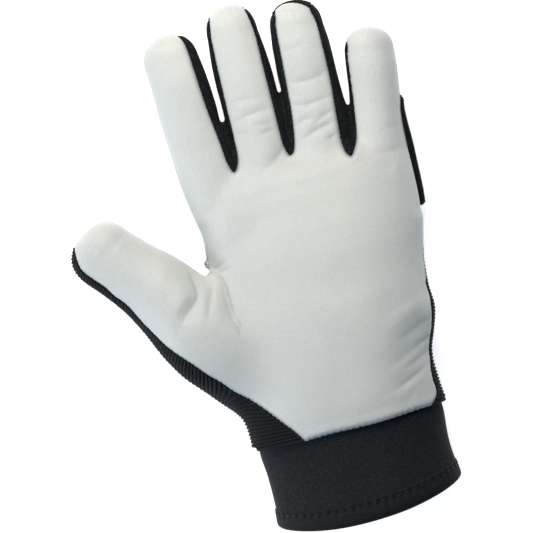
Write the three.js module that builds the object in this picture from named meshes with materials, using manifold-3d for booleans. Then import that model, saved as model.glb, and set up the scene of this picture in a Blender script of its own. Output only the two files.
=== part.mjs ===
// A left-hand mechanic glove, life size, lying on its back with the palm up.
// Millimetres, +Z up, +Y towards the fingertips, -X towards the thumb.
// The hand is a set of lofted tubes, joined, hollowed and cut along its seams into panels.

import * as THREE from 'three';
import { mergeVertices } from 'three/addons/utils/BufferGeometryUtils.js';
import Module from 'manifold-3d';

const wasm = await Module();
wasm.setup();

// Driving dimensions
const PALM_LENGTH = 132;      // wrist seam to the finger crotches
const PALM_HALF = 54;         // half of the palm's reference width
const PALM_DEPTH = 48;        // deepest part, at the wrist end
const BACK_RISE = 2.0;        // the back of the hand over the surface below it
const INDEX_LENGTH = 71.7;
const MIDDLE_LENGTH = 78;
const RING_LENGTH = 74.3;
const LITTLE_LENGTH = 57.7;
const FINGER_HALF = 13.5;     // half width of the three long fingers
const FINGER_DEPTH = 22;
const LITTLE_HALF = 11.8;
const LITTLE_DEPTH = 20;
const FINGER_CURL = 8;        // rise of the fingertips
const THUMB_LENGTH = 116;     // from the heel of the hand to the thumb's tip
const THUMB_HALF = 18;
const THUMB_DEPTH = 34;
const THUMB_LIFT = 4;         // rise of the thumb's tip
const HAND_WALL = 1.4;        // leather and knit
const SEAM_GAP = 0.3;         // between neighbouring panels
const CUFF_LENGTH = 36.5;     // below the wrist seam, on the back
const CUFF_HALF = 44.8;
const CUFF_DEPTH = 47.5;
const CUFF_WALL = 3;
const CUFF_TUCK = 8;          // length sewn inside the hand
const WRIST_HEM = 2;          // the hand's panels end this far above the cuff's seam line
const HEM_SAG = 7.5;          // how much further the hem reaches on the palm side
const HEM_HEIGHT = 8;         // folded tape round the hem
const TAPE_WALL = 1;
const TAPE_PROUD = 0.4;
const BAND_PROUD = 2.2;       // padded band over the knuckles
const BAND_SIDE = 15.5;       // height that the band climbs at the little finger's side

// Number of facets
const PALM_AROUND = 28;
const PALM_STEPS = 13;
const FINGER_AROUND = 14;
const FINGER_STEPS = 6;
const THUMB_AROUND = 16;
const THUMB_STEPS = 8;
const CUFF_AROUND = 26;
const TIP_STEPS = 3;
const COLLAR_STEPS = 2;

// Section shape: 2 is an ellipse, more is squarer
const SQUARE_TOP = 2.2;
const SQUARE_BOTTOM = 2.7;
const TIP_SQUARE = 2.0;       // roundness of the tips seen from the palm side
const THUMB_TIP_SQUARE = 2.5;
const WAIST = 0.46;           // share of the depth at which a section is widest

// Palm sections from the wrist (at 0) to the crotches (at 1).
// left and right are shares of PALM_HALF, low and high are shares of PALM_DEPTH over the back.
const PALM_ROWS = [
  { at: 0.0, left: -0.89, right: 0.88, low: 0.01, high: 1.01 },
  { at: 0.08, left: -0.89, right: 0.87, low: 0.0, high: 1.0 },
  { at: 0.2, left: -0.87, right: 0.88, low: 0.0, high: 0.95 },
  { at: 0.27, left: -0.86, right: 0.945, low: 0.0, high: 0.92 },
  { at: 0.34, left: -0.86, right: 1.0, low: 0.0, high: 0.89 },
  { at: 0.43, left: -0.85, right: 1.03, low: 0.0, high: 0.85 },
  { at: 0.53, left: -0.85, right: 1.03, low: 0.0, high: 0.79 },
  { at: 0.64, left: -0.86, right: 1.09, low: 0.0, high: 0.74 },
  { at: 0.72, left: -0.85, right: 1.13, low: 0.0, high: 0.7 },
  { at: 0.79, left: -0.83, right: 1.14, low: 0.0, high: 0.66 },
  { at: 0.88, left: -0.86, right: 1.14, low: 0.0, high: 0.61 },
  { at: 0.95, left: -0.88, right: 1.13, low: 0.01, high: 0.55 },
  { at: 0.99, left: -0.87, right: 1.12, low: 0.04, high: 0.46 },
  { at: 1.01, left: -0.84, right: 1.08, low: 0.12, high: 0.35 },
];

// Each finger: its root in palm shares, its lean, and its sections from the crotch (0) to the tip (1).
// left and right are shares of the half width, thick is a share of the depth, cap is where the tip rounds.
const FINGERS = {
  index: {
    root: [-0.628, 0.998], lean: -0.058, length: INDEX_LENGTH, half: FINGER_HALF, depth: FINGER_DEPTH,
    cap: 0.83,
    rows: [
      { at: -0.38, left: -0.75, right: 1.1, sink: 0.2, thick: 0.7 },
      { at: -0.17, left: -0.99, right: 1.14, sink: 0.06, thick: 1.02 },
      { at: 0.01, left: -1.09, right: 1.1, sink: 0.02, thick: 1.08 },
      { at: 0.18, left: -1.09, right: 1.09, sink: 0.0, thick: 1.05 },
      { at: 0.46, left: -1.07, right: 1.01, sink: 0.0, thick: 1.0 },
      { at: 0.71, left: -1.0, right: 0.99, sink: 0.0, thick: 0.96 },
      { at: 0.83, left: -0.99, right: 0.97, sink: 0.0, thick: 0.9 },
    ],
  },
  middle: {
    root: [-0.135, 1.004], lean: 0.027, length: MIDDLE_LENGTH, half: FINGER_HALF, depth: FINGER_DEPTH,
    cap: 0.82,
    rows: [
      { at: -0.36, left: -0.82, right: 0.95, sink: 0.2, thick: 0.7 },
      { at: -0.17, left: -1.05, right: 1.08, sink: 0.06, thick: 1.04 },
      { at: 0.0, left: -1.06, right: 1.08, sink: 0.02, thick: 1.1 },
      { at: 0.15, left: -1.04, right: 1.11, sink: 0.0, thick: 1.07 },
      { at: 0.28, left: -1.02, right: 1.13, sink: 0.0, thick: 1.05 },
      { at: 0.41, left: -1.01, right: 1.08, sink: 0.0, thick: 1.02 },
      { at: 0.56, left: -0.99, right: 1.02, sink: 0.0, thick: 1.0 },
      { at: 0.67, left: -0.96, right: 0.97, sink: 0.0, thick: 0.97 },
      { at: 0.82, left: -0.91, right: 0.9, sink: 0.0, thick: 0.9 },
    ],
  },
  ring: {
    root: [0.389, 0.989], lean: 0.057, length: RING_LENGTH, half: FINGER_HALF, depth: FINGER_DEPTH,
    cap: 0.82,
    rows: [
      { at: -0.38, left: -0.95, right: 1.0, sink: 0.2, thick: 0.7 },
      { at: -0.19, left: -1.14, right: 1.14, sink: 0.06, thick: 1.04 },
      { at: -0.07, left: -1.2, right: 1.14, sink: 0.02, thick: 1.08 },
      { at: 0.03, left: -1.18, right: 1.17, sink: 0.01, thick: 1.08 },
      { at: 0.19, left: -1.12, right: 1.26, sink: 0.0, thick: 1.05 },
      { at: 0.32, left: -1.05, right: 1.19, sink: 0.0, thick: 1.03 },
      { at: 0.46, left: -1.0, right: 1.12, sink: 0.0, thick: 1.0 },
      { at: 0.62, left: -1.0, right: 1.07, sink: 0.0, thick: 1.0 },
      { at: 0.73, left: -1.0, right: 1.03, sink: 0.0, thick: 0.96 },
      { at: 0.82, left: -0.96, right: 0.96, sink: 0.0, thick: 0.9 },
    ],
  },
  little: {
    root: [0.889, 0.945], lean: 0.171, length: LITTLE_LENGTH, half: LITTLE_HALF, depth: LITTLE_DEPTH,
    cap: 0.81,
    rows: [
      { at: -0.56, left: -0.6, right: 1.2, sink: 0.2, thick: 0.75 },
      { at: -0.35, left: -0.93, right: 1.34, sink: 0.08, thick: 1.06 },
      { at: -0.14, left: -1.17, right: 1.25, sink: 0.03, thick: 1.14 },
      { at: 0.03, left: -1.26, right: 1.15, sink: 0.01, thick: 1.12 },
      { at: 0.17, left: -1.19, right: 1.1, sink: 0.0, thick: 1.08 },
      { at: 0.34, left: -1.07, right: 1.07, sink: 0.0, thick: 1.03 },
      { at: 0.51, left: -0.99, right: 1.04, sink: 0.0, thick: 1.0 },
      { at: 0.69, left: -1.0, right: 1.02, sink: 0.0, thick: 0.97 },
      { at: 0.81, left: -1.01, right: 0.97, sink: 0.0, thick: 0.9 },
    ],
  },
};

// The thumb: start in palm shares, direction on the surface, sections from the heel (0) to the tip (1).
const THUMB = {
  root: [-0.637, 0.199], angle: 124.4, cap: 0.87,
  rows: [
    { at: 0.0, left: -0.94, right: 0.9, low: 0.14, high: 1.16 },
    { at: 0.1, left: -1.03, right: 1.15, low: 0.04, high: 1.24 },
    { at: 0.19, left: -1.09, right: 1.3, low: 0.01, high: 1.29 },
    { at: 0.3, left: -1.14, right: 1.35, low: 0.01, high: 1.27 },
    { at: 0.41, left: -1.09, right: 1.3, low: 0.02, high: 1.2 },
    { at: 0.55, left: -0.92, right: 1.22, low: 0.03, high: 1.06 },
    { at: 0.65, left: -0.85, right: 1.11, low: 0.04, high: 0.98 },
    { at: 0.76, left: -0.87, right: 1.01, low: 0.05, high: 0.92 },
    { at: 0.87, left: -0.95, right: 0.9, low: 0.06, high: 0.86 },
  ],
};

// Cuff sections from inside the hand (below 0) to the hem (1), as shares of CUFF_LENGTH.
// half is a share of CUFF_HALF, low and high are shares of CUFF_DEPTH, sag is the share of HEM_SAG.
const CUFF_ROWS = [
  { at: 0.0, half: 1.0, low: 0.065, high: 1.0, sag: 0.0 },
  { at: 0.1, half: 1.0, low: 0.03, high: 0.99, sag: 0.05 },
  { at: 0.3, half: 0.99, low: 0.0, high: 0.97, sag: 0.2 },
  { at: 0.6, half: 0.985, low: -0.008, high: 0.97, sag: 0.5 },
  { at: 0.85, half: 0.995, low: -0.012, high: 0.99, sag: 0.85 },
  { at: 1.0, half: 1.005, low: -0.012, high: 1.0, sag: 1.0 },
];

// Soft valleys pressed into the palm side, from one point to another in palm shares.
// wide is a share of PALM_HALF and deep is a share of PALM_DEPTH.
const FOLDS = [
  { from: [-0.91, 0.66], to: [-0.96, 0.54], wide: 0.13, deep: 0.08 },
  { from: [-0.8, 0.64], to: [-0.76, 0.49], wide: 0.12, deep: 0.06 },
  { from: [-0.5, 0.9], to: [-0.78, 0.72], wide: 0.16, deep: 0.035 },
  { from: [-0.25, 0.93], to: [0.1, 0.95], wide: 0.14, deep: 0.03 },
  { from: [0.4, 0.86], to: [0.95, 0.8], wide: 0.14, deep: 0.03 },
  { from: [0.58, 0.3], to: [0.85, 0.36], wide: 0.13, deep: 0.03 },
  { from: [0.55, 0.1], to: [0.8, 0.2], wide: 0.13, deep: 0.03 },
];

// Seams of the strips between the fingers, from the crotch to the tips.
// crotch is in palm shares; each pair is a share of the finger's length and of its half width.
const GUSSETS = {
  fourchette_index_middle: {
    crotch: [-0.407, 1.0], first: 'index', second: 'middle',
    firstSeam: [[0.06, 0.75], [0.26, 0.71], [0.51, 0.65], [0.82, 0.66], [0.93, 0.61], [1.0, 0.43],
      [1.04, 0.5]],
    secondSeam: [[0.05, -0.9], [0.18, -0.85], [0.5, -0.85], [0.8, -0.82], [0.94, -0.71], [0.99, -0.82]],
  },
  fourchette_middle_ring: {
    crotch: [0.111, 1.008], first: 'middle', second: 'ring',
    firstSeam: [[0.03, 0.88], [0.12, 0.81], [0.41, 0.79], [0.72, 0.77], [0.83, 0.73], [0.92, 0.63],
      [0.99, 0.51]],
    secondSeam: [[0.06, -0.97], [0.14, -0.88], [0.28, -0.81], [0.52, -0.78], [0.83, -0.76],
      [0.92, -0.69], [0.99, -0.78]],
  },
  fourchette_ring_little: {
    crotch: [0.63, 0.947], first: 'ring', second: 'little',
    firstSeam: [[-0.04, 0.8], [0.05, 0.74], [0.24, 0.76], [0.45, 0.8], [0.7, 0.75], [0.82, 0.7],
      [0.9, 0.58], [0.97, 0.64]],
    secondSeam: [[0.1, -0.96], [0.22, -0.9], [0.5, -0.91], [0.79, -0.97], [0.88, -0.94], [0.99, -0.95]],
  },
};

// Outline of the leather seen from the palm side, in palm shares.
// Where the leather wraps round a side, the outline lies outside the hand.
const LEATHER_WRIST = [[-0.426, -0.08], [1.5, -0.08]];
const LEATHER_TOP = [
  [1.5, 0.64], [1.5, 1.1], [1.5, 1.42], [1.13, 1.44], [0.8, 1.49], [0.62, 1.521], [0.53, 1.53],
  [0.44, 1.535], [0.35, 1.533], [0.28, 1.527], [0.17, 1.6], [0.02, 1.64], [-0.35, 1.64],
  [-0.54, 1.58], [-1.1, 1.58], [-1.2, 1.35], [-1.2, 1.05], [-1.6, 1.03], [-2.1, 1.0],
];
const LEATHER_THUMB_SIDE = [
  [-2.01, 0.905], [-1.969, 0.867], [-1.963, 0.822], [-1.935, 0.792], [-1.78, 0.716],
  [-1.644, 0.64], [-1.546, 0.564], [-1.38, 0.451], [-1.185, 0.36], [-1.0, 0.277],
  [-0.815, 0.197], [-0.63, 0.11], [-0.481, 0.034],
];

// Height of the seam between leather and back where the leather wraps round a side:
// along is a share of PALM_LENGTH, height a share of FINGER_DEPTH.
const SEAM_HEIGHTS = [
  [-0.2, 1.68], [0.02, 1.6], [0.13, 1.42], [0.27, 1.33], [0.43, 1.2], [0.53, 0.76], [0.85, 0.66], [1.0, 0.5], [1.25, 0.58], [1.45, 0.76], [1.7, 0.86],
];

// Outline of the band over the knuckles, in palm shares: lower edge, then the scalloped finger edge.
const BAND_OUTLINE = [
  [-0.8, 0.73], [-0.4, 0.72], [0.4, 0.712], [1.6, 0.71], [1.6, 1.11],
  [1.02, 1.12], [0.78, 1.08], [0.66, 0.94], [0.58, 0.94], [0.5, 1.06], [0.3, 1.1], [0.2, 1.08],
  [0.13, 0.97], [0.08, 0.97], [0.02, 1.08], [-0.14, 1.12], [-0.3, 1.08], [-0.38, 0.97],
  [-0.43, 0.97], [-0.5, 1.06], [-0.64, 1.1], [-0.76, 1.06], [-0.84, 1.0],
];

// Value between hand-set rows, on a smooth curve through them
function between(rows, key, at) {
  let i = 0;
  while (i < rows.length - 2 && at > rows[i + 1].at) i += 1;
  const a = rows[Math.max(i - 1, 0)];
  const b = rows[i];
  const c = rows[i + 1];
  const d = rows[Math.min(i + 2, rows.length - 1)];
  const t = Math.min(Math.max((at - b.at) / (c.at - b.at), 0), 1);
  const slopeB = (c[key] - a[key]) / Math.max(c.at - a.at, 1e-6) * (c.at - b.at);
  const slopeC = (d[key] - b[key]) / Math.max(d.at - b.at, 1e-6) * (c.at - b.at);
  return b[key] * (2 * t ** 3 - 3 * t ** 2 + 1) + slopeB * (t ** 3 - 2 * t ** 2 + t)
    + c[key] * (3 * t ** 2 - 2 * t ** 3) + slopeC * (t ** 3 - t ** 2);
}

function power(value, exponent) {
  return Math.sign(value) * Math.abs(value) ** exponent;
}

// One ring of points: a rounded section standing on the surface, across the direction of the tube
function ring(section, around, inset) {
  const { centre, heading, left, right, low, high } = section;
  const side = new THREE.Vector2(heading.y, -heading.x);
  const middle = (left + right) / 2;
  const half = (right - left) / 2 - inset;
  const waist = low + (high - low) * WAIST;
  const points = [];
  for (let i = 0; i < around; i += 1) {
    const angle = (i + 0.5) / around * Math.PI * 2;
    const square = Math.sin(angle) > 0 ? SQUARE_TOP : SQUARE_BOTTOM;
    const across = middle + half * power(Math.cos(angle), 2 / square);
    const reach = Math.sin(angle) > 0 ? high - waist - inset : waist - low - inset;
    const z = waist + reach * power(Math.sin(angle), 2 / square);
    const slide = section.slide ? section.slide((z - low) / (high - low)) : 0;
    points.push(new THREE.Vector3(
      centre.x + side.x * across + heading.x * slide,
      centre.y + side.y * across + heading.y * slide,
      z,
    ));
  }
  return points;
}

// A closed solid through rings of points, with a fan at each end
function skin(rings) {
  const around = rings[0].length;
  const positions = rings.flat().flatMap((p) => [p.x, p.y, p.z]);
  const faces = [];
  for (let r = 0; r < rings.length - 1; r += 1) {
    for (let i = 0; i < around; i += 1) {
      const a = r * around + i;
      const b = r * around + (i + 1) % around;
      faces.push(a, b + around, b, a, a + around, b + around);
    }
  }
  for (const end of [0, rings.length - 1]) {
    const middle = new THREE.Vector3();
    rings[end].forEach((p) => middle.addScaledVector(p, 1 / around));
    const pole = positions.length / 3;
    positions.push(middle.x, middle.y, middle.z);
    for (let i = 0; i < around; i += 1) {
      const a = end * around + i;
      const b = end * around + (i + 1) % around;
      if (end === 0) faces.push(pole, a, b);
      else faces.push(pole, b, a);
    }
  }
  const geometry = new THREE.BufferGeometry();
  geometry.setAttribute('position', new THREE.Float32BufferAttribute(positions, 3));
  geometry.setIndex(faces);
  return solid(geometry);
}

// A closed geometry as a solid that can be joined and cut
function solid(geometry) {
  const bare = geometry.clone();
  bare.deleteAttribute('normal');
  bare.deleteAttribute('uv');
  const merged = mergeVertices(bare, 1e-4);
  const result = new wasm.Manifold(new wasm.Mesh({
    numProp: 3,
    vertProperties: new Float32Array(merged.attributes.position.array),
    triVerts: new Uint32Array(merged.index.array),
  }));
  return result;
}

// Depth of the palm's valleys at one place of the palm side
function foldDepth(x, y) {
  let depth = 0;
  for (const fold of FOLDS) {
    const from = palmPoint(fold.from);
    const to = palmPoint(fold.to);
    const line = to.clone().sub(from);
    const place = new THREE.Vector2(x, y);
    const share = Math.min(Math.max(place.clone().sub(from).dot(line) / line.lengthSq(), 0), 1);
    const away = place.distanceTo(from.addScaledVector(line, share)) / (fold.wide * PALM_HALF);
    depth += fold.deep * PALM_DEPTH * Math.exp(-away * away);
  }
  return depth;
}

function palmPoint([across, along]) {
  return new THREE.Vector2(across * PALM_HALF, along * PALM_LENGTH);
}

// Presses the valleys into a ring's upper half
function pressed(points, low, high) {
  const waist = low + (high - low) * WAIST;
  for (const p of points) {
    const raised = Math.min(Math.max((p.z - waist) / (high - waist), 0), 1);
    p.z -= foldDepth(p.x, p.y) * raised;
  }
  return points;
}

// The palm's section at a share of its length
function palmSection(at) {
  return {
    centre: new THREE.Vector2(0, at * PALM_LENGTH),
    heading: new THREE.Vector2(0, 1),
    left: between(PALM_ROWS, 'left', at) * PALM_HALF,
    right: between(PALM_ROWS, 'right', at) * PALM_HALF,
    low: BACK_RISE + between(PALM_ROWS, 'low', at) * PALM_DEPTH,
    high: BACK_RISE + between(PALM_ROWS, 'high', at) * PALM_DEPTH,
  };
}

// The palm's tube, open past the wrist when it is the hollow inside
function palmTube(inset) {
  const rings = [];
  const start = (inset > 0 ? -CUFF_TUCK : WRIST_HEM) / PALM_LENGTH;
  const end = 1.01 - inset / PALM_LENGTH;
  for (let i = 0; i <= PALM_STEPS; i += 1) {
    const section = palmSection(start + (end - start) * i / PALM_STEPS);
    rings.push(pressed(ring(section, PALM_AROUND, inset), section.low, section.high));
  }
  return skin(rings);
}

// Rings that close a tube with a round tip
function roundTip(section, reach, square, around, inset) {
  const rings = [];
  const middle = (section.left + section.right) / 2;
  const waist = section.low + (section.high - section.low) * WAIST;
  for (let i = 1; i <= TIP_STEPS; i += 1) {
    const angle = i / (TIP_STEPS + 0.35) * Math.PI / 2;
    const shrink = Math.cos(angle) ** (2 / square);
    const forward = Math.sin(angle) ** (2 / square) * (reach - inset);
    rings.push(ring({
      ...section,
      centre: section.centre.clone().addScaledVector(section.heading, forward),
      left: middle + (section.left + inset - middle) * shrink,
      right: middle + (section.right - inset - middle) * shrink,
      low: waist + (section.low + inset - waist) * shrink + section.rise * i / TIP_STEPS,
      high: waist + (section.high - inset - waist) * shrink + section.rise * i / TIP_STEPS,
    }, around, 0));
  }
  return rings;
}

// Where a finger's axis lies at a share of its length
function fingerAxis(finger, at) {
  return palmPoint(finger.root).add(new THREE.Vector2(finger.lean, 1).multiplyScalar(at * finger.length));
}

function fingerTube(finger, inset) {
  const rings = [];
  const first = finger.rows[0].at;
  const heading = new THREE.Vector2(finger.lean, 1).normalize();
  let section;
  for (let i = 0; i <= FINGER_STEPS; i += 1) {
    const at = first + (finger.cap - first) * i / FINGER_STEPS;
    const curl = FINGER_CURL * Math.max(at, 0) ** 1.6;
    const low = BACK_RISE + curl + between(finger.rows, 'sink', at) * finger.depth;
    section = {
      centre: fingerAxis(finger, at),
      heading,
      left: between(finger.rows, 'left', at) * finger.half,
      right: between(finger.rows, 'right', at) * finger.half,
      low,
      high: low + between(finger.rows, 'thick', at) * finger.depth,
      rise: FINGER_CURL * 0.25,
    };
    rings.push(ring(section, FINGER_AROUND, inset));
  }
  const reach = finger.length * (1 - finger.cap);
  rings.push(...roundTip(section, reach, TIP_SQUARE, FINGER_AROUND, inset));
  return skin(rings);
}

function thumbTube(inset) {
  const rings = [];
  const angle = THREE.MathUtils.degToRad(THUMB.angle);
  const heading = new THREE.Vector2(Math.cos(angle), Math.sin(angle));
  const first = THUMB.rows[0].at;
  let section;
  for (let i = 0; i <= THUMB_STEPS; i += 1) {
    const at = first + (THUMB.cap - first) * i / THUMB_STEPS;
    const lift = THUMB_LIFT * at ** 2;
    section = {
      centre: palmPoint(THUMB.root).addScaledVector(heading, at * THUMB_LENGTH),
      heading,
      left: between(THUMB.rows, 'left', at) * THUMB_HALF,
      right: between(THUMB.rows, 'right', at) * THUMB_HALF,
      low: BACK_RISE + lift + between(THUMB.rows, 'low', at) * THUMB_DEPTH,
      high: BACK_RISE + lift + between(THUMB.rows, 'high', at) * THUMB_DEPTH,
      rise: THUMB_LIFT * 0.25,
    };
    rings.push(pressed(ring(section, THUMB_AROUND, inset), section.low, section.high));
  }
  const reach = THUMB_LENGTH * (1 - THUMB.cap);
  rings.push(...roundTip(section, reach, THUMB_TIP_SQUARE, THUMB_AROUND, inset));
  return skin(rings);
}

// The whole hand as one solid, shrunk by an inset (or grown by a negative one)
function hand(inset) {
  let whole = palmTube(inset);
  for (const finger of Object.values(FINGERS)) {
    whole = whole.add(fingerTube(finger, inset));
  }
  return whole.add(thumbTube(inset));
}

// An outline on the surface moved outwards by a distance, corner by corner
function grownOutline(points, distance) {
  return points.map((p, i) => {
    const before = points[(i + points.length - 1) % points.length];
    const after = points[(i + 1) % points.length];
    const inward = p.clone().sub(before).normalize();
    const outward = after.clone().sub(p).normalize();
    const normal = new THREE.Vector2(inward.y + outward.y, -inward.x - outward.x).normalize();
    const spread = Math.max(normal.dot(new THREE.Vector2(inward.y, -inward.x)), 0.4);
    return p.clone().addScaledVector(normal, distance / spread);
  });
}

// An upright block over an outline that runs anticlockwise
function upright(points, low, high) {
  const geometry = new THREE.ExtrudeGeometry(new THREE.Shape(points), {
    depth: high - low,
    bevelEnabled: false,
  });
  return solid(geometry.translate(0, 0, low));
}

const TALL = PALM_DEPTH * 2;

// The block that holds one strip between two fingers
function gussetBlock(gusset, grow) {
  const first = FINGERS[gusset.first];
  const second = FINGERS[gusset.second];
  const place = (finger, [at, side]) => fingerAxis(finger, at).add(new THREE.Vector2(side * finger.half, 0));
  const outline = [palmPoint(gusset.crotch)];
  outline.push(...gusset.secondSeam.map((share) => place(second, share)));
  outline.push(...gusset.firstSeam.map((share) => place(first, share)).reverse());
  return upright(grownOutline(outline, grow), -TALL, TALL);
}

// The block that holds the leather: inside its outline and above its side seams
function leatherBlock(grow) {
  const outline = [LEATHER_WRIST, LEATHER_TOP, LEATHER_THUMB_SIDE].flat().map(palmPoint);
  const seam = SEAM_HEIGHTS.map(([along, height]) => (
    new THREE.Vector2(along * PALM_LENGTH, height * FINGER_DEPTH - grow)
  ));
  const far = PALM_HALF * 4;
  const below = [
    new THREE.Vector2(seam[0].x, -TALL),
    new THREE.Vector2(seam[seam.length - 1].x, -TALL),
    ...[...seam].reverse(),
  ];
  const floor = new THREE.ExtrudeGeometry(new THREE.Shape(below), { depth: far * 2, bevelEnabled: false });
  floor.translate(0, 0, -far);
  floor.applyMatrix4(new THREE.Matrix4().makeBasis(
    new THREE.Vector3(0, 1, 0),
    new THREE.Vector3(0, 0, 1),
    new THREE.Vector3(1, 0, 0),
  ));
  return upright(grownOutline(outline, grow), -TALL, TALL).subtract(solid(floor));
}

// Cuff rings between two shares of its length, with an inset from its outer face
function cuffTube(from, to, inset, steps) {
  const rings = [];
  for (let i = 0; i <= steps; i += 1) {
    const at = from + (to - from) * i / steps;
    const half = between(CUFF_ROWS, 'half', at) * CUFF_HALF;
    const sag = between(CUFF_ROWS, 'sag', at) * HEM_SAG;
    rings.push(ring({
      centre: new THREE.Vector2(0, -at * CUFF_LENGTH),
      heading: new THREE.Vector2(0, 1),
      left: -half,
      right: half,
      low: between(CUFF_ROWS, 'low', at) * CUFF_DEPTH,
      high: between(CUFF_ROWS, 'high', at) * CUFF_DEPTH,
      slide: (height) => -sag * Math.max((height - WAIST) / (1 - WAIST), 0) ** 2,
    }, CUFF_AROUND, inset).reverse());
  }
  return skin(rings);
}

const SURFACE = upright([
  new THREE.Vector2(-TALL * 3, -TALL * 3), new THREE.Vector2(TALL * 3, -TALL * 3),
  new THREE.Vector2(TALL * 3, TALL * 3), new THREE.Vector2(-TALL * 3, TALL * 3),
], -TALL, 0);

// The cuff: a tube of foam-backed fabric, its top edge sewn inside the hand, thinner under the tape
function cuff() {
  const tuck = CUFF_TUCK / CUFF_LENGTH;
  const tape = HEM_HEIGHT / CUFF_LENGTH;
  const hemEnd = 1 - SEAM_GAP / CUFF_LENGTH;
  const full = cuffTube(0, 1 - tape, 0, 5);
  const thin = cuffTube(1 - tape * 1.4, hemEnd, TAPE_WALL - TAPE_PROUD + SEAM_GAP, 2);
  const hollow = cuffTube(-tuck * 1.5, 1.2, CUFF_WALL, 5);
  return cuffCollar().add(full).add(thin).subtract(hollow).subtract(SURFACE);
}

// The cuff's top edge, which follows the inside of the hand
function cuffCollar() {
  const rings = [];
  for (let i = 0; i <= COLLAR_STEPS; i += 1) {
    const section = palmSection((CUFF_TUCK - i / COLLAR_STEPS * CUFF_TUCK * 1.1) / PALM_LENGTH);
    const points = ring(section, PALM_AROUND, HAND_WALL + SEAM_GAP);
    rings.push(pressed(points, section.low, section.high).reverse());
  }
  return skin(rings);
}

// Tape folded round the cuff's edge
function hemBinding() {
  const tape = HEM_HEIGHT / CUFF_LENGTH;
  const fold = (TAPE_WALL) / CUFF_LENGTH;
  const outer = cuffTube(1 - tape + 0.3 / CUFF_LENGTH, 1 + fold, -TAPE_PROUD, 2);
  const inner = cuffTube(1 - tape * 1.5, 1 + fold * 4, CUFF_WALL + SEAM_GAP + TAPE_WALL, 2);
  const channelOuter = cuffTube(1 - tape * 1.5, 1, TAPE_WALL - TAPE_PROUD, 2);
  const channelInner = cuffTube(1 - tape * 1.6, 1 + fold * 0.5, CUFF_WALL + SEAM_GAP, 2);
  return outer.subtract(inner).subtract(channelOuter.subtract(channelInner)).subtract(SURFACE);
}

// The padded band across the knuckles, on the back and up the little finger's side
function knuckleBand() {
  const outline = upright(BAND_OUTLINE.map(palmPoint), -TALL, BAND_SIDE);
  return hand(-BAND_PROUD).subtract(hand(-SEAM_GAP)).intersect(outline).subtract(SURFACE);
}

const FINISH = {
  palm_leather: { color: 0xcbd0cf, roughness: 0.55 },
  back_panel: { color: 0x1b1e21, roughness: 0.85 },
  fourchette: { color: 0x202326, roughness: 0.8 },
  knuckle_band: { color: 0x1a1c1f, roughness: 0.75 },
  cuff: { color: 0x23272a, roughness: 0.9 },
  hem_binding: { color: 0x1d2023, roughness: 0.8 },
};

function named(name, piece, finish) {
  const mesh = piece.getMesh();
  const geometry = new THREE.BufferGeometry();
  const points = [];
  for (let i = 0; i < mesh.vertProperties.length; i += mesh.numProp) {
    points.push(mesh.vertProperties[i], mesh.vertProperties[i + 1], mesh.vertProperties[i + 2]);
  }
  geometry.setAttribute('position', new THREE.Float32BufferAttribute(points, 3));
  geometry.setIndex([...mesh.triVerts]);
  const result = new THREE.Mesh(geometry, new THREE.MeshStandardMaterial({ ...finish, metalness: 0 }));
  result.name = name;
  return result;
}

const shell = hand(0).subtract(hand(HAND_WALL));
const halfGap = SEAM_GAP / 2;
const gussets = Object.entries(GUSSETS);
const gussetCuts = gussets.map(([, gusset]) => gussetBlock(gusset, halfGap));
const panels = gussetCuts.reduce((rest, cut) => rest.subtract(cut), shell);

const glove = new THREE.Group();
glove.add(named('palm_leather', panels.intersect(leatherBlock(-halfGap)), FINISH.palm_leather));
glove.add(named('back_panel', panels.subtract(leatherBlock(halfGap)), FINISH.back_panel));
for (const [name, gusset] of gussets) {
  glove.add(named(name, shell.intersect(gussetBlock(gusset, -halfGap)), FINISH.fourchette));
}
glove.add(named('knuckle_band', knuckleBand(), FINISH.knuckle_band));
glove.add(named('cuff', cuff(), FINISH.cuff));
glove.add(named('hem_binding', hemBinding(), FINISH.hem_binding));

// The glove's box stands centred over the origin
const box = new THREE.Box3().setFromObject(glove);
glove.position.set(-(box.min.x + box.max.x) / 2, -(box.min.y + box.max.y) / 2, -box.min.z);
glove.updateMatrixWorld(true);

export default glove;
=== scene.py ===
import math

import bpy
import numpy as np
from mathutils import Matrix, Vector, kdtree, noise


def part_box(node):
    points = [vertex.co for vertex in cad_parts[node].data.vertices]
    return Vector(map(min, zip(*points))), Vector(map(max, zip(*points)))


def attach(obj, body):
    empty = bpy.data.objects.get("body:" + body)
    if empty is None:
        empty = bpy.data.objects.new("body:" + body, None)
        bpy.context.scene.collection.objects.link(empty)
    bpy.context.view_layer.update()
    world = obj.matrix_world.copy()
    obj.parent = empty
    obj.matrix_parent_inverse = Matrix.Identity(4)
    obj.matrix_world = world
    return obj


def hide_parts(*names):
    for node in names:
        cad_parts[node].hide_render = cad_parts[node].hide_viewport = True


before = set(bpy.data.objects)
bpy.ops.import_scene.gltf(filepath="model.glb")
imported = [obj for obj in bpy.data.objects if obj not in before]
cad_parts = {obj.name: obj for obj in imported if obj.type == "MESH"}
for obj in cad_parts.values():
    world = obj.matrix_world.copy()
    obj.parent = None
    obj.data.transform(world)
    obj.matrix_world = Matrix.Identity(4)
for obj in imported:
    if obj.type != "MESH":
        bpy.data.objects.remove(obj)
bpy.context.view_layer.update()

# Hand form
# The shape that a sewn glove takes when it lies empty on its back: a palm tube, four finger tubes
# and a thumb tube that run into each other. It is made here as one skin, which the next sections
# cut along the real seams into panels. Lengths are millimetres until a mesh is written.
MM = 0.001
hem_low, hem_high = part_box("hem_binding")
centre_x = (hem_low.x + hem_high.x) / 2 / MM
wrist_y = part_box("palm_leather")[0].y / MM - 2

palm_length = 132
palm_half = 54
palm_depth = 48
back_rise = 2.0
finger_curl = 8
thumb_length = 116
thumb_half = 18
thumb_depth = 34
thumb_lift = 4
skin_grid = 0.9

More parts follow.
